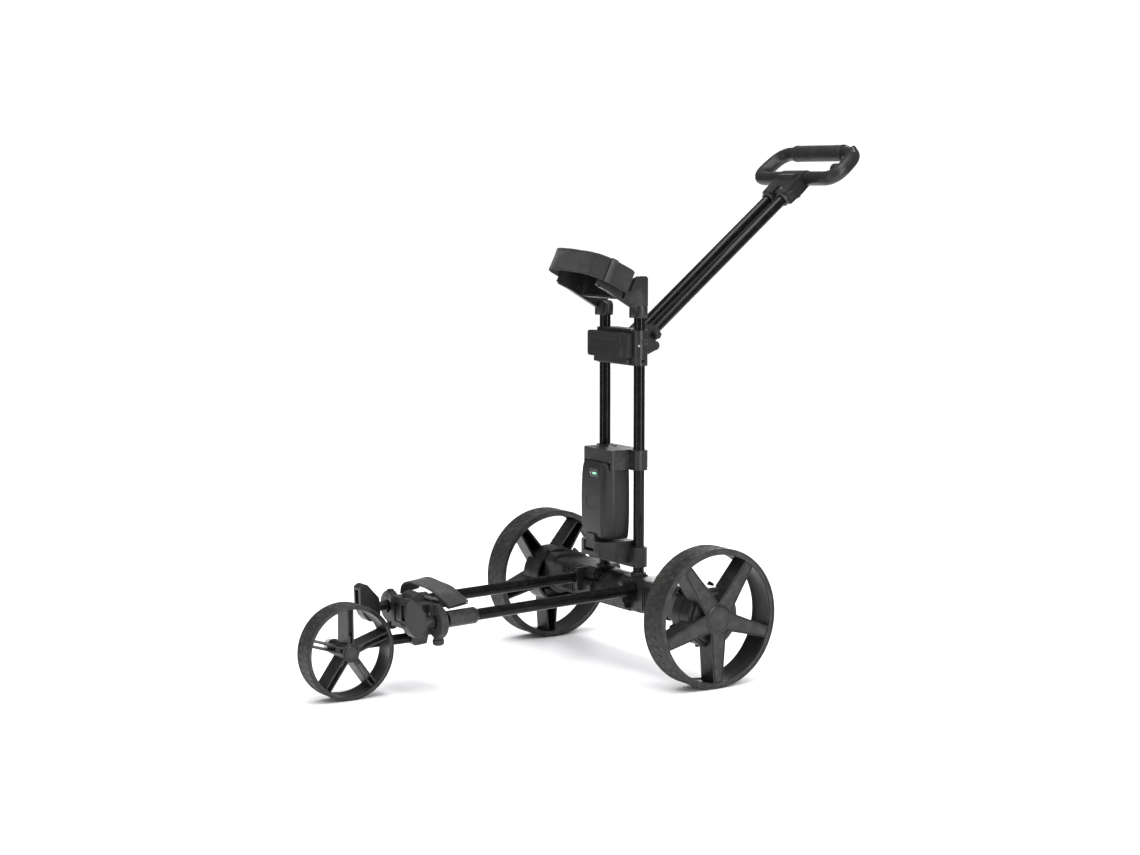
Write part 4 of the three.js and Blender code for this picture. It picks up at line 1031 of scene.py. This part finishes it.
# %% [markdown]
# A wing is a wedge of moulded plastic with a dark slot in its front. A smaller copy of the
# outline is cut one millimetre deep into each cheek, and what stays is a raised rim.

# %% Bag wings

WING = [(-558, 44), (-550, 49), (-543, 49), (-518, 20), (-516, -12), (-525, -22),
        (-540, -25), (-551, -12), (-558, 4)]
WING_ROUND = [3, 4, 6, 8, 7, 6, 10, 10, 3]


def shrunk(points, share):
    """The outline drawn nearer to its own middle."""
    cy = sum(p[0] for p in points) / len(points)
    cz = sum(p[1] for p in points) / len(points)
    return [(cy + (y - cy) * share, cz + (z - cz) * share) for y, z in points]


for side, sign in SIDES:
    edge_line = rounded(WING, WING_ROUND, 4)
    inner_line = rounded(shrunk(WING, 0.90), WING_ROUND, 4)
    wing = fresh((prism, "x", edge_line, -14, 14))
    wing = combine(wing, fresh((box, -8, 5, -570, -544, 9, 38)))
    for low, high in ((13, 16), (-16, -13)):
        wing = combine(wing, fresh((prism, "x", inner_line, low, high)))
    neck = fresh((lathe, [(0, -520), (9, -520), (9, -500), (10.5, -499), (10.5, -498),
                          (0, -498)], 32, "y"))
    wing_body = f"{side}_wing"
    piece(f"{side}_wing_wedge", wing, RAIL[side], MOULDED, wing_body,
          [f"{side}_bag_wing"], bevel=0.9, segments=3)
    piece(f"{side}_wing_neck", neck, RAIL[side], MOULDED, wing_body, sharp=38)
    pad = fresh((prism, "x", rounded(rect(-554, -546, 12, 35), 2), -7, 4))
    piece(f"{side}_wing_slot_pad", pad, RAIL[side], GRIP, wing_body, bevel=0.5)
print("wing outline corners", len(edge_line))

# %% [markdown]
# Between the clamps a box-shaped cross piece carries the front arm. A flat insert closes
# the pocket in its front, and a latch housing sits on top, under the strap.

# %% Front cross piece

cross = from_cad("front_crossmember")
cross = combine(cross, fresh((box, -70, -20, -520, -470, 60, 115.9)))
foot = fresh((prism, "x", rounded([(-474, 84), (-466, 76), (-440, 78), (-436, 96),
                                   (-446, 112), (-452, 124), (-474, 124)], 4), -61, -31))
piece("arm_socket", foot, CART, MOULDED, "chassis", bevel=1.2, segments=3)
piece("cross_piece", cross, CART, MOULDED, "chassis", ["front_crossmember"], bevel=1.1)
latch = fresh((prism, "x", rounded([(-500, 172), (-474, 172), (-474, 184), (-484, 190),
                                    (-500, 186)], 3), -20, 20))
insert = fresh((box, -45.5, 45.5, -500.5, -486, 127, 159))
piece("cross_insert", insert, CART, MOULDED, "chassis", bevel=0.8)
piece("cross_latch", latch, CART, MOULDED, "chassis", bevel=0.8)
under = fresh((prism, "x", rounded([(-470, 160), (-420, 158), (-420, 166), (-470, 178)], 2),
               -34, 34))
piece("strap_saddle", under, CART, MOULDED, "chassis", bevel=0.8)
fasteners("cross_screws", [((4, -502.2, 163), (0, -1, 0)), ((8, -502.2, 122), (0, -1, 0))],
          CART, STEEL, "chassis", 2.8, 1.6)

# %% [markdown]
# Straps are flat webbing, so each one is built as a ribbon: a thin closed section led
# along a path, with selvedges a little thicker than the middle. Its UV map is laid out in
# millimetres along and across, and the weave reads that. Stitches are set along it.

# %% Webbing ribbons


def ribbon(points, across, half, thick, waves=0.0, lead=0.0):
    """A strap: path points, unit direction across it, half its width, thickness."""
    bm = bmesh.new()
    chart = bm.loops.layers.uv.new("strap")
    pts = [Vector(p) for p in points]
    across = Vector(across).normalized()
    marks = [-1.0, -0.93, -0.84, -0.4, 0.0, 0.4, 0.84, 0.93, 1.0]
    run, length = [0.0], 0.0
    for a, b in zip(pts, pts[1:]):
        length += (b - a).length
        run.append(length)
    rows = []
    for i, p in enumerate(pts):
        tangent = (pts[min(i + 1, len(pts) - 1)] - pts[max(i - 1, 0)]).normalized()
        normal = tangent.cross(across).normalized()
        row = []
        for layer in (1, -1):
            for m in (marks if layer > 0 else reversed(marks)):
                hem = 0.5 if abs(m) < 0.9 else (0.62 if abs(m) < 0.99 else 0.30)
                sway = waves * math.sin(run[i] * 0.09 + 2.1 * m + lead)
                spot = p + across * (m * half + 0.3 * waves * math.sin(run[i] * 0.13))
                row.append((bm.verts.new(spot + normal * (layer * hem * thick + sway)),
                            run[i], m * half))
        rows.append(row)
    n = len(rows[0])
    for a, b in zip(rows, rows[1:]):
        for i in range(n):
            j = (i + 1) % n
            face = bm.faces.new((a[i][0], b[i][0], b[j][0], a[j][0]))
            for loop, spot in zip(face.loops, (a[i], b[i], b[j], a[j])):
                loop[chart].uv = (spot[1], spot[2])
    for end in (rows[0], rows[-1]):
        face = bm.faces.new([spot[0] for spot in end])
        for loop, spot in zip(face.loops, end):
            loop[chart].uv = (spot[1], spot[2])
    bmesh.ops.recalc_face_normals(bm, faces=bm.faces)
    return bm


def flowing(points, steps):
    """A soft curve through every point, with steps between each two."""
    pts = [Vector(p) for p in points]
    pts = [2 * pts[0] - pts[1]] + pts + [2 * pts[-1] - pts[-2]]
    out = []
    for a, b, c, d in zip(pts, pts[1:], pts[2:], pts[3:]):
        for k in range(steps):
            t = k / steps
            out.append((b * 2 + (c - a) * t + (a * 2 - b * 5 + c * 4 - d) * t ** 2
                        + (b * 3 - a - c * 3 + d) * t ** 3) / 2)
    return out + [pts[-2]]


def stitches(name, points, aims, place, body, pitch=3.2):
    thread = mesh_object("thread", fresh((prism, "x", rounded(rect(-0.35, 0.35, -0.1, 0.4),
                                                              0.2, 1), -1.2, 1.2)))
    return grow(name, STITCH_TREE, {"Copy": thread, "Pitch": pitch, "Seed": 7}, place,
                WEBBING, body, path=path_object(points, aims))


print("ribbon helper ready")

# %% [markdown]
# The lower strap arches over the base tubes just behind the clamps. Its near end is
# turned back under itself, and its far end is cut and slightly frayed.

# %% Lower strap

STRAP_Y = -440
arch = flowing([(x, STRAP_Y, z) for x, z in ((-99, 170), (-95, 184), (-84, 192), (-66, 196.5),
                                          (-45, 197.5), (0, 195.5), (28, 193), (46, 189),
                                          (68, 182), (90, 174.5))], 6)
LEAN = Vector((0, 1, 0.14)).normalized()
piece("lower_webbing", ribbon(arch, LEAN, 21.6, 2.2, 0.5), CART, WEBBING,
      "chassis", ["lower_strap"], sharp=60)
fold = flowing([(x, STRAP_Y, z) for x, z in ((91.5, 172.5), (84, 170.5), (66, 176), (48, 182),
                                          (34, 187))], 6)
piece("lower_webbing_fold", ribbon(fold, LEAN, 20.6, 2.0, 0.4, 1.0), CART,
      WEBBING, "chassis", sharp=60)
for row, shift in enumerate((-18.5, 18.5)):
    line = [p + LEAN * shift + Vector((0, 0, 1.4)) for p in arch[6:-2]]
    stitches(f"lower_webbing_stitches_{row}", line, [(0, 0, 1)] * len(line), CART,
             "chassis")
for row, tilt in enumerate((-0.5, 0.1, 0.6)):
    hair = mesh_object("hair", fresh((prism, "x", rect(-0.3, 0.3, -0.3, 0.3), -5.5, 0.5)))
    grow(f"frayed_end_{row}", ROW_TREE, {"Copy": hair, "Count": 12, "Step": (0, 3.1, 0.4)},
         frame_at(-99.3, -457 + row, 168 + 0.6 * row) @ Matrix.Rotation(tilt - 1.0, 4, "Y"),
         WEBBING, "chassis")
print("lower strap length, mm", round(sum((b - a).length for a, b in zip(arch, arch[1:]))))

# %% [markdown]
# # The upright
# Two tubes stand in hinged feet. Moulded bands clasp both tubes: the battery dock, the
# hood above the battery, and the folding block that carries the handle.

# %% Upright tubes, feet and bands

MAST_X, MAST_Y = 60, -8.6
BAND = rounded(rect(-75, 75, MAST_Y - 15.5, MAST_Y + 15.5), 13, 8)


def mast_holes(low, high, radius=11.4):
    return fresh(*[(rod, "z", radius, low, high, k * MAST_X, MAST_Y, 48, 0.01)
                   for _, k in SIDES])


for side, sign in SIDES:
    tube(f"{side}_upright", (sign * MAST_X, MAST_Y, 162), (sign * MAST_X, MAST_Y, 712), CART,
         "mast", [f"{side}_mast_tube"])
    piece(f"{side}_foot", from_cad(f"{side}_mast_foot"), CART, MOULDED, "mast",
          [f"{side}_mast_foot"], bevel=1.5, segments=3)
    collar = fresh((lathe, [(11.3, 183.6), (15.6, 183.6), (15.6, 187), (14.8, 188),
                            (11.3, 188)], 48, "z", (sign * MAST_X, MAST_Y)))
    piece(f"{side}_foot_collar", collar, CART, MOULDED, "mast", sharp=38)
SHELF = rounded([(-48, -8), (-48, -58), (-39, -80), (-30, -84.5), (30, -84.5), (39, -80),
                 (48, -58), (48, -8)], [0, 12, 6, 5, 5, 6, 12, 0], 4)
dock = combine(fresh((prism, "z", BAND, 199, 239)), fresh((prism, "z", SHELF, 205, 250)),
               "UNION")
dock = combine(dock, fresh((prism, "x", [(-100, 190), (-24.6, 190), (-24.6, 205), (-84, 220),
                                         (-100, 226)], -60, 60)))
dock = combine(dock, fresh((box, -22, 12.6, -96, -70.4, 229, 260)))
dock = combine(dock, mast_holes(190, 260))
piece("dock_shell", dock, CART, MOULDED, "mast", ["battery_dock"], bevel=1.0, segments=3)
rib = mesh_object("rib", fresh((prism, "z", rounded(rect(-1.0, 1.0, -85.3, -82), 0.5), 228,
                                247)))
grow("dock_ribs", ROW_TREE, {"Copy": rib, "Count": 3, "Step": (5.0, 0, 0)},
     frame_at(17, 0, 0), MOULDED, "mast", bevel=0.4)

# %% [markdown]
# The hood grips the tubes above the battery and reaches over it like a lid. The screws
# that clamp it sit on top, beside the far tube.

# %% Battery hood

hood = combine(fresh((prism, "z", BAND, 393, 433)), fresh(
    (prism, "z", rounded([(-49.5, -4), (-49.5, -70), (49.5, -70), (49.5, -4)],
                         [0, 10, 10, 0], 6), 393.6, 433.6)), "UNION")
hood = combine(hood, fresh((box, -46.5, 46.5, -95, -20.4, 380, 408.6)))
hood = combine(hood, mast_holes(380, 440))
piece("hood_shell", hood, CART, MOULDED, "mast", ["battery_hood"], bevel=2.0, segments=4)
fasteners("hood_screws", [((x, y, 433.7), (0, 0, 1)) for x, y in
                          ((-34, -14), (-22, -14), (-10, -18))], CART, STEEL, "mast", 3.0,
          2.2)
print("hood done")

# %% [markdown]
# The battery is a slim pack with softened front corners. Its face has a small recessed
# window with a green charge light, a shallow blank label field and a tongue below that
# locks into the dock. It rides on its own body, because it slides out.

# %% Battery

BATTERY_BACK = -20.9
PACK = [(-48, BATTERY_BACK), (-48, -60), (-42, -75), (-34, -83), (34, -83), (42, -75), (48, -60),
        (48, BATTERY_BACK)]
SWELL = [(254, 9), (255.6, 6.8), (258, 5.2), (262, 3.8), (270, 2.4), (285, 1.0),
         (305, 0.2), (335, 0), (360, 0.3), (380, 1.0), (394, 2.2), (404, 4.0), (408, 7.5)]


def loft(bm, outline, levels, back):
    """Outlines stacked in height, each drawn in by its own amount toward the back."""
    wide = max(x for x, y in outline)
    deep = back - min(y for x, y in outline)
    rings = [[bm.verts.new((x * (wide - d) / wide, back + (y - back) * (deep - d) / deep, z))
              for x, y in outline] for z, d in levels]
    faces = [bm.faces.new(rings[0]), bm.faces.new(rings[-1])]
    for a, b in zip(rings, rings[1:]):
        for i in range(len(outline)):
            j = (i + 1) % len(outline)
            faces.append(bm.faces.new((a[i], a[j], b[j], b[i])))
    bmesh.ops.recalc_face_normals(bm, faces=faces)


pack_line = rounded(PACK, [5, 10, 6, 4, 4, 6, 10, 5], 6)
pack = combine(fresh((loft, pack_line, SWELL, BATTERY_BACK)),
               fresh((box, -18, 12, -83, -71, 235, 264)), "UNION")
for low, high, left, right, deep in ((377, 396, -7.5, 23, 2.2), (315, 339, -16, 27, 0.6)):
    field = rounded([(left, low), (right, low), (right, high), (left, high)], 2, 3)
    pack = combine(pack, fresh((prism, "y", field, -86, -83 + deep)))
piece("battery_case", pack, CART, MOULDED, "battery", ["battery_pack"], sharp=40, bevel=1.0,
      segments=3)
window = fresh((prism, "y", rounded(rect(-6.5, 22, 378, 395), 1.5), -81.2, -80.3))
piece("battery_window", window, CART, TRIM, "battery", bevel=0.2)
lens = fresh((prism, "y", rounded(rect(4, 17, 384, 388), 1.2), -81.9, -81.0))
piece("charge_light", lens, CART, LENS, "battery", ["battery_indicator"], bevel=0.3)
bead = fresh((prism, "y", rounded(rect(-5, -2.5, 384, 388), 1), -81.8, -81.0))
piece("charge_button", bead, CART, NYLON, "battery", bevel=0.2)
print("battery corners", len(pack_line))

# %% [markdown]
# The folding block holds the handle's hinge between two lugs behind it, and wears a
# cover plate in front. The plate has a sunk blank field and two upright steps.

# %% Folding block

block = from_cad("folding_block")
trim = combine(fresh((box, -60, 60, 31, 60, 600, 690)),
               fresh((rod, "x", 6.6, -70, 70, HINGE_Y, HINGE_Z),
                     (box, -70, 70, 20, HINGE_Y, HINGE_Z - 6, HINGE_Z + 6)))
block = combine(block, trim)
block = combine(block, fresh((rod, "x", 3.2, 70, 80, MAST_Y - 2, 609, 20, 0.01)))
piece("folding_block_shell", block, CART, MOULDED, "mast", ["folding_block"], bevel=1.2,
      segments=3)
cover = fresh((prism, "y", rounded(rect(-84, 57, 613, 664), 7, 6), -35.4, -24.4))
field = rounded([(-68, 626), (22, 626), (22, 649), (-68, 649)], 2, 3)
cover = combine(cover, fresh((prism, "y", field, -37, -34.9)))
for x in (26, 41):
    cover = combine(cover, fresh((box, x - 0.5, x + 0.5, -37, -34.7, 610, 668)))
piece("block_cover", cover, CART, MOULDED, "mast", ["folding_block_cover"], bevel=2.4,
      segments=4)
cap_plate = fresh((prism, "z", rounded([(-46, -23), (46, -23), (46, 5), (-46, 5)], 4),
                   669.6, 671.6))
piece("block_top_plate", cap_plate, CART, TRIM, "mast", bevel=0.5)
lip = fresh((prism, "z", rounded([(-70, -31), (50, -31), (50, -20), (-70, -20)], 4), 602,
             612.6))
piece("block_bottom_lip", lip, CART, MOULDED, "mast", bevel=1.0)
side_cap = fresh((lathe, [(0, 74.6), (7, 74.6), (7, 76), (5.8, 77), (0, 77)], 40, "x",
                  (MAST_Y + 2, 648)),
                 (lathe, [(0, -77), (5.8, -77), (7, -76), (7, -74.6), (0, -74.6)], 40, "x",
                  (MAST_Y + 2, 648)))
piece("block_side_caps", side_cap, CART, MOULDED, "mast", sharp=38)
fasteners("block_screws", [((75.2, -20, 639.8), (1, -0.3, 0))], CART, NYLON, "mast", 2.0, 0.8)
release = fresh((lathe, [(0, 44), (6.6, 44), (7.6, 45.2), (7.6, 53), (6.4, 54.4), (0, 54.4)],
                 32, "x", (41.5, 657.5)),
                (rod, "x", 3.4, 34, 46, 41.5, 657.5))
piece("release_knob", release, CART, MOULDED, "mast", sharp=38)
print("folding block pieces done")

# %% [markdown]
# # The upper cradle
# Two brackets on the tubes carry a tilted saddle that a bag's neck leans in. A strap
# leaves the wings, runs along the saddle's arms and closes the front.

# %% Cradle brackets and saddle

FUNNEL = [(11.5, 694), (15.2, 694), (16.2, 696), (16.2, 714), (15.2, 719), (12, 723),
          (6, 724.6), (0, 724.8), (0, 712.7), (11.5, 712.7)]
for side, sign in SIDES:
    arm = from_cad(f"{side}_cradle_bracket")
    low, high = sorted((sign * 44, sign * 77))
    arm = combine(arm, fresh((box, low, high, MAST_Y - 14.5, MAST_Y + 18, 690, 717)))
    arm = combine(arm, fresh((box, low, high, MAST_Y + 10.2, MAST_Y + 18, 690, 727)))
    low, high = sorted((sign * 44, sign * 63.8))
    arm = combine(arm, fresh((box, low, high, MAST_Y - 14.5, MAST_Y + 18, 700, 727)))
    piece(f"{side}_cradle_arm", arm, CART, MOULDED, "mast", [f"{side}_cradle_bracket"],
          bevel=1.8, segments=4)
    piece(f"{side}_cradle_funnel", fresh((lathe, FUNNEL, 56, "z", (sign * MAST_X, MAST_Y))),
          CART, MOULDED, "mast", sharp=38)
    low, high = sorted((sign * 63.5, sign * 69))
    web = fresh((prism, "x", rounded([(-4, 716), (-4, 748), (-22, 764), (-72, 758),
                                      (-66, 738), (-24, 714)], 3), low, high))
    piece(f"{side}_cradle_web", web, CART, MOULDED, "mast", bevel=0.8)
piece("cradle_saddle_shell", from_cad("cradle_saddle", RING), RING, MOULDED, "mast",
      ["cradle_saddle"], bevel=1.4, segments=4)
for low, name in ((-2.2, "low"), (47.5, "high")):
    outside = [(66.5, -62), (66.5, -4), (-66.5, -4), (-66.5, -62), (-74.5, -62), (-74.5, 2.4),
               (77.5, 2.4), (77.5, -62)]
    rim_line = rounded(outside, [1.5, 18, 18, 1.5, 1.5, 22, 22, 1.5], 8)
    piece(f"cradle_rim_{name}", fresh((prism, "z", rim_line, low, low + 4.4)), RING, MOULDED,
          "mast", bevel=1.6, segments=4)
print("cradle arms 2")

# %% [markdown]
# The upper strap is the same ribbon led round three sides of the ring. A second layer
# lies on it from the near wing to the buckle plate, where the strap is threaded back.

# %% Upper strap and its buckle plate

ring = flowing([(x, y, 35) for x, y in (
    (71, 5), (75, -8), (77.5, -26), (78, -46), (74, -67), (61, -84), (40, -94), (14, -99),
    (-16, -103), (-44, -104), (-62, -98), (-73, -82), (-76.5, -56), (-75, -26), (-72.5, -6),
    (-70, 3))], 5)
piece("upper_webbing", ribbon(ring, (0, 0, 1), 23, 2.4, 0.45), RING, WEBBING, "mast",
      ["upper_strap"], sharp=60)
outer = []
for here, after in list(zip(ring, ring[1:]))[3:26]:
    side_way = (after - here).cross(Vector((0, 0, 1))).normalized()
    outer.append(here - side_way * 2.3)
piece("upper_webbing_layer", ribbon(outer, (0, 0, 1), 23.2, 1.6, 0.3, 2.0), RING, WEBBING,
      "mast", sharp=60)
for row, z in enumerate((15.5, 54.5)):
    line = [Vector((p.x, p.y - 1.4, z)) for p in ring[32:46]]
    stitches(f"upper_webbing_stitches_{row}", line, [(0, -1, 0)] * len(line), RING, "mast")
    line = [Vector((p.x + 0.95, p.y, z)) for p in outer[1:16]]
    stitches(f"upper_layer_stitches_{row}", line, [(1, 0, 0)] * len(line), RING, "mast")
plate = fresh((prism, "z", rounded([(80.2, -62), (82.8, -61.4), (84.4, -47), (81.8, -46)], 0.9),
               10.6, 59.4))
piece("buckle_plate", plate, RING, MOULDED, "mast", ["strap_keeper"], bevel=0.4)
print("upper strap length, mm", round(sum((b - a).length for a, b in zip(ring, ring[1:]))))

# %% [markdown]
# # The handle
# Two tubes rise from the hinge to a moulded socket. The loop is one bent tube: its path is
# a long rounded ring, and the tree sweeps a circle along it.

# %% Handle tubes, hinge and socket

SOCKET_HALF, HANDLE_X = 36.5, 22.5
for side, sign in SIDES:
    tube(f"{side}_handle_rail", (sign * HANDLE_X, -8, HANDLE_RISE),
         (sign * HANDLE_X, 476, HANDLE_RISE), HANDLE, "handle", [f"{side}_handle_tube"])
piece("hinge_yoke", from_cad("handle_hinge", HANDLE), HANDLE, MOULDED, "handle",
      ["handle_hinge"], bevel=1.2, segments=3)
socket = from_cad("handle_socket", HANDLE)
for vert in socket.verts:
    vert.co.x = max(-SOCKET_HALF, min(SOCKET_HALF, vert.co.x))
notch = [(-7.5, 430), (7.5, 430), (4, 462), (0, 468), (-4, 462)]
socket = combine(socket, fresh((prism, "z", notch, HANDLE_RISE - 30, HANDLE_RISE + 30)))
piece("loop_socket", socket, HANDLE, MOULDED, "handle", ["handle_socket"], bevel=2.4,
      segments=4)
CUFF = [(11.4, 438), (14.6, 438), (15.4, 439.4), (15.4, 446), (14.4, 447), (14.4, 449),
        (15.8, 450), (15.8, 461), (11.4, 461)]
for side, sign in SIDES:
    cuff = fresh((lathe, CUFF, 48, "y", (sign * HANDLE_X, HANDLE_RISE)))
    piece(f"{side}_socket_cuff", cuff, HANDLE, MOULDED, "handle", sharp=38)
    ridge = fresh((prism, "x", rounded([(452, HANDLE_RISE - 8), (500, HANDLE_RISE - 6),
                                        (500, HANDLE_RISE + 4), (452, HANDLE_RISE + 6)], 3),
                   *sorted((sign * 35, sign * 38.4))))
    piece(f"{side}_socket_ridge", ridge, HANDLE, MOULDED, "handle", bevel=0.9, segments=3)
visor = fresh((prism, "x", rounded([(478, HANDLE_RISE + 14), (494, HANDLE_RISE + 23.5),
                                    (531, HANDLE_RISE + 0.5), (529, HANDLE_RISE - 3),
                                    (510, HANDLE_RISE + 8), (486, HANDLE_RISE + 12)],
                                   [2, 1.5, 1.5, 1, 2, 2], 3), -24, 24))
piece("socket_visor", visor, HANDLE, MOULDED, "handle", bevel=0.8)
for place, sign in (("near", 1), ("far", -1)):
    lug = fresh((lathe, [(0, HANDLE_RISE - 21), (5.4, HANDLE_RISE - 21),
                         (6.4, HANDLE_RISE - 19.8), (6.4, HANDLE_RISE - 10),
                         (0, HANDLE_RISE - 10)], 32, "z", (sign * 26, 476)))
    piece(f"socket_nut_{place}", lug, HANDLE, MOULDED, "handle",
          sharp=38)
fasteners("socket_screws", [((12.5, 459, HANDLE_RISE + 15.2), (0, -0.1, 1))], HANDLE, STEEL,
          "handle", 2.4, 1.4)
print("socket done")

# %% [markdown]
# The rubber grip is a sleeve a little thicker than the loop, with a ring at each end. The
# dial sits in the near corner under the thumb, the button above it.

# %% Loop, grip and controls

LOOP_NEAR, LOOP_FAR, LOOP_R = 510, 594, 14.8
MIDDLE = (LOOP_FAR + LOOP_NEAR) / 2
corners = [(118, LOOP_FAR), (124, LOOP_NEAR), (-132, LOOP_NEAR), (-120, LOOP_FAR)]
loop_line = [Vector((x, y, HANDLE_RISE)) for x, y in rounded(corners, [37, 34, 30, 37], 14)]
grow("loop_tube", BEND_TREE, {"Radius": LOOP_R, "Sides": 48}, HANDLE, MOULDED, "handle",
     ["handle_loop"], path=path_object(loop_line, closed=True), sharp=50)
GRIP_PROFILE = [(10.3, -77.6), (15.6, -77.6), (17.6, -76.4), (17.6, -71.6), (16.4, -70.8),
                (16.4, -69.8), (17.2, -69)]
grip_line = GRIP_PROFILE + [(r, -x) for r, x in reversed(GRIP_PROFILE)]
piece("rubber_grip", fresh((lathe, grip_line, 64, "x", (LOOP_FAR, HANDLE_RISE))), HANDLE,
      GRIP, "handle", ["handle_grip"], sharp=38)
tube("grip_core", (-80, LOOP_FAR, HANDLE_RISE), (80, LOOP_FAR, HANDLE_RISE), HANDLE,
     "handle", [], MOULDED, 10)
DIAL = HANDLE @ Matrix.Translation((0, MIDDLE - 12, HANDLE_RISE))
wheel_line = [(0, 93.4), (10.6, 93.4), (11.6, 94.8), (11.6, 107.2), (10.6, 108.6), (0, 108.6)]
piece("thumb_dial", fresh((lathe, wheel_line, 48)), DIAL, GRIP, "speed_dial",
      ["speed_dial"], sharp=38)
flute = mesh_object("flute", fresh((prism, "x", rounded(rect(-0.7, 0.7, 11, 12.2), 0.4), 95.2,
                                    106.8)))
grow("dial_flutes", RING_TREE, {"Copy": flute, "Count": 28}, DIAL, GRIP, "speed_dial",
     bevel=0.15)
button_line = [(0, 22), (9.2, 22), (9.2, 30), (8.2, 32.4), (5.4, 34.4), (0, 35)]
piece("power_switch", fresh((lathe, button_line, 40, "z", (116, LOOP_FAR - 6))), HANDLE,
      TRIM, "power_button", ["power_button"], sharp=38)
print("loop path points", len(loop_line))

# %% [markdown]
# # The studio
# The cart stands on a pale seamless floor. One big soft light overhead fills the scene and
# whitens the floor, and shows in no reflection. The strips beside it do show: each draws
# a clear line along a tube and a soft edge on the mouldings.

# %% Floor, lights and camera


def area_light(name, place, aim, size, power):
    data = bpy.data.lights.new(name, "AREA")
    data.shape, data.size, data.size_y = "RECTANGLE", size[0], size[1]
    data.energy = power
    lamp = bpy.data.objects.new(name, data)
    lamp.location = place
    lamp.rotation_euler = (Vector(aim) - Vector(place)).to_track_quat("-Z", "Y").to_euler()
    bpy.context.scene.collection.objects.link(lamp)
    return lamp


def floor_material():
    material, tree, shader = start_material("studio_floor")
    where = tree.nodes.new("ShaderNodeTexCoord")
    haze = noise(tree, 0.8, 3.0)
    tree.links.new(where.outputs["Object"], haze.inputs["Vector"])
    tone = mixed(tree, haze.outputs["Fac"], (0.80, 0.80, 0.81), (0.83, 0.83, 0.84))
    tree.links.new(tone, shader.inputs["Base Color"])
    shader.inputs["Roughness"].default_value = 0.6
    shader.inputs["Specular IOR Level"].default_value = 0.2
    return material


disc = [(3.0 * math.cos(k * math.pi / 48), 3.0 * math.sin(k * math.pi / 48))
        for k in range(96)]
floor = mesh_object("studio_floor", fresh((prism, "z", disc, -0.02, 0.0)))
floor.data.materials.append(floor_material())
world = bpy.data.worlds.new("studio")
bpy.context.scene.world = world
world.use_nodes = True
sky = world.node_tree
room, backdrop = sky.nodes["Background"], sky.nodes.new("ShaderNodeBackground")
room.inputs["Color"].default_value = (0.93, 0.96, 1.0, 1)
room.inputs["Strength"].default_value = 0.24
backdrop.inputs["Color"].default_value = (1, 1, 1, 1)
backdrop.inputs["Strength"].default_value = 1.1
ray = sky.nodes.new("ShaderNodeLightPath")
pick = sky.nodes.new("ShaderNodeMixShader")
link_chain(sky, (ray.outputs["Is Camera Ray"], pick.inputs[0]),
           (room.outputs[0], pick.inputs[1]), (backdrop.outputs[0], pick.inputs[2]),
           (pick.outputs[0], sky.nodes["World Output"].inputs["Surface"]))
lamps = [area_light("top_light", (0, 0, 3.6), (0, 0, 0), (7.2, 7.2), 420),
         area_light("left_strip", (3.4, 0.6, 1.1), (0.1, 0.0, 0.6), (0.9, 2.4), 60),
         area_light("front_strip", (0.4, -3.6, 1.2), (0, -0.1, 0.5), (0.3, 2.6), 30),
         area_light("back_strip", (-2.6, 2.3, 1.3), (0, 0, 0.6), (0.4, 2.2), 24),
         area_light("ridge_strip", (1.2, 0, 3.0), (0, 0, 0.4), (0.5, 5.0), 60)]
lamps[0].visible_glossy = False
print("lights", len(lamps))

CAMERA_PLACE = Vector((3.5281, -2.44098 + AXLE_Y, 0.96184))
AZIMUTH, ELEVATION = math.radians(56.8008), math.radians(6.5293)
back = Vector((math.sin(AZIMUTH) * math.cos(ELEVATION),
               -math.cos(AZIMUTH) * math.cos(ELEVATION), math.sin(ELEVATION)))
right = Vector((math.cos(AZIMUTH), math.sin(AZIMUTH), 0))
up = back.cross(right)
lens = bpy.data.cameras.new("studio_camera")
lens.sensor_width, lens.lens = 36.0, 68.153
camera = bpy.data.objects.new("studio_camera", lens)
camera.matrix_world = Matrix.Translation(CAMERA_PLACE) @ Matrix(
    (right, up, back)).transposed().to_4x4()
bpy.context.scene.collection.objects.link(camera)
bpy.context.scene.camera = camera
bpy.context.scene.view_settings.view_transform = "Standard"
print("camera stands", round(CAMERA_PLACE.length, 2), "m away")
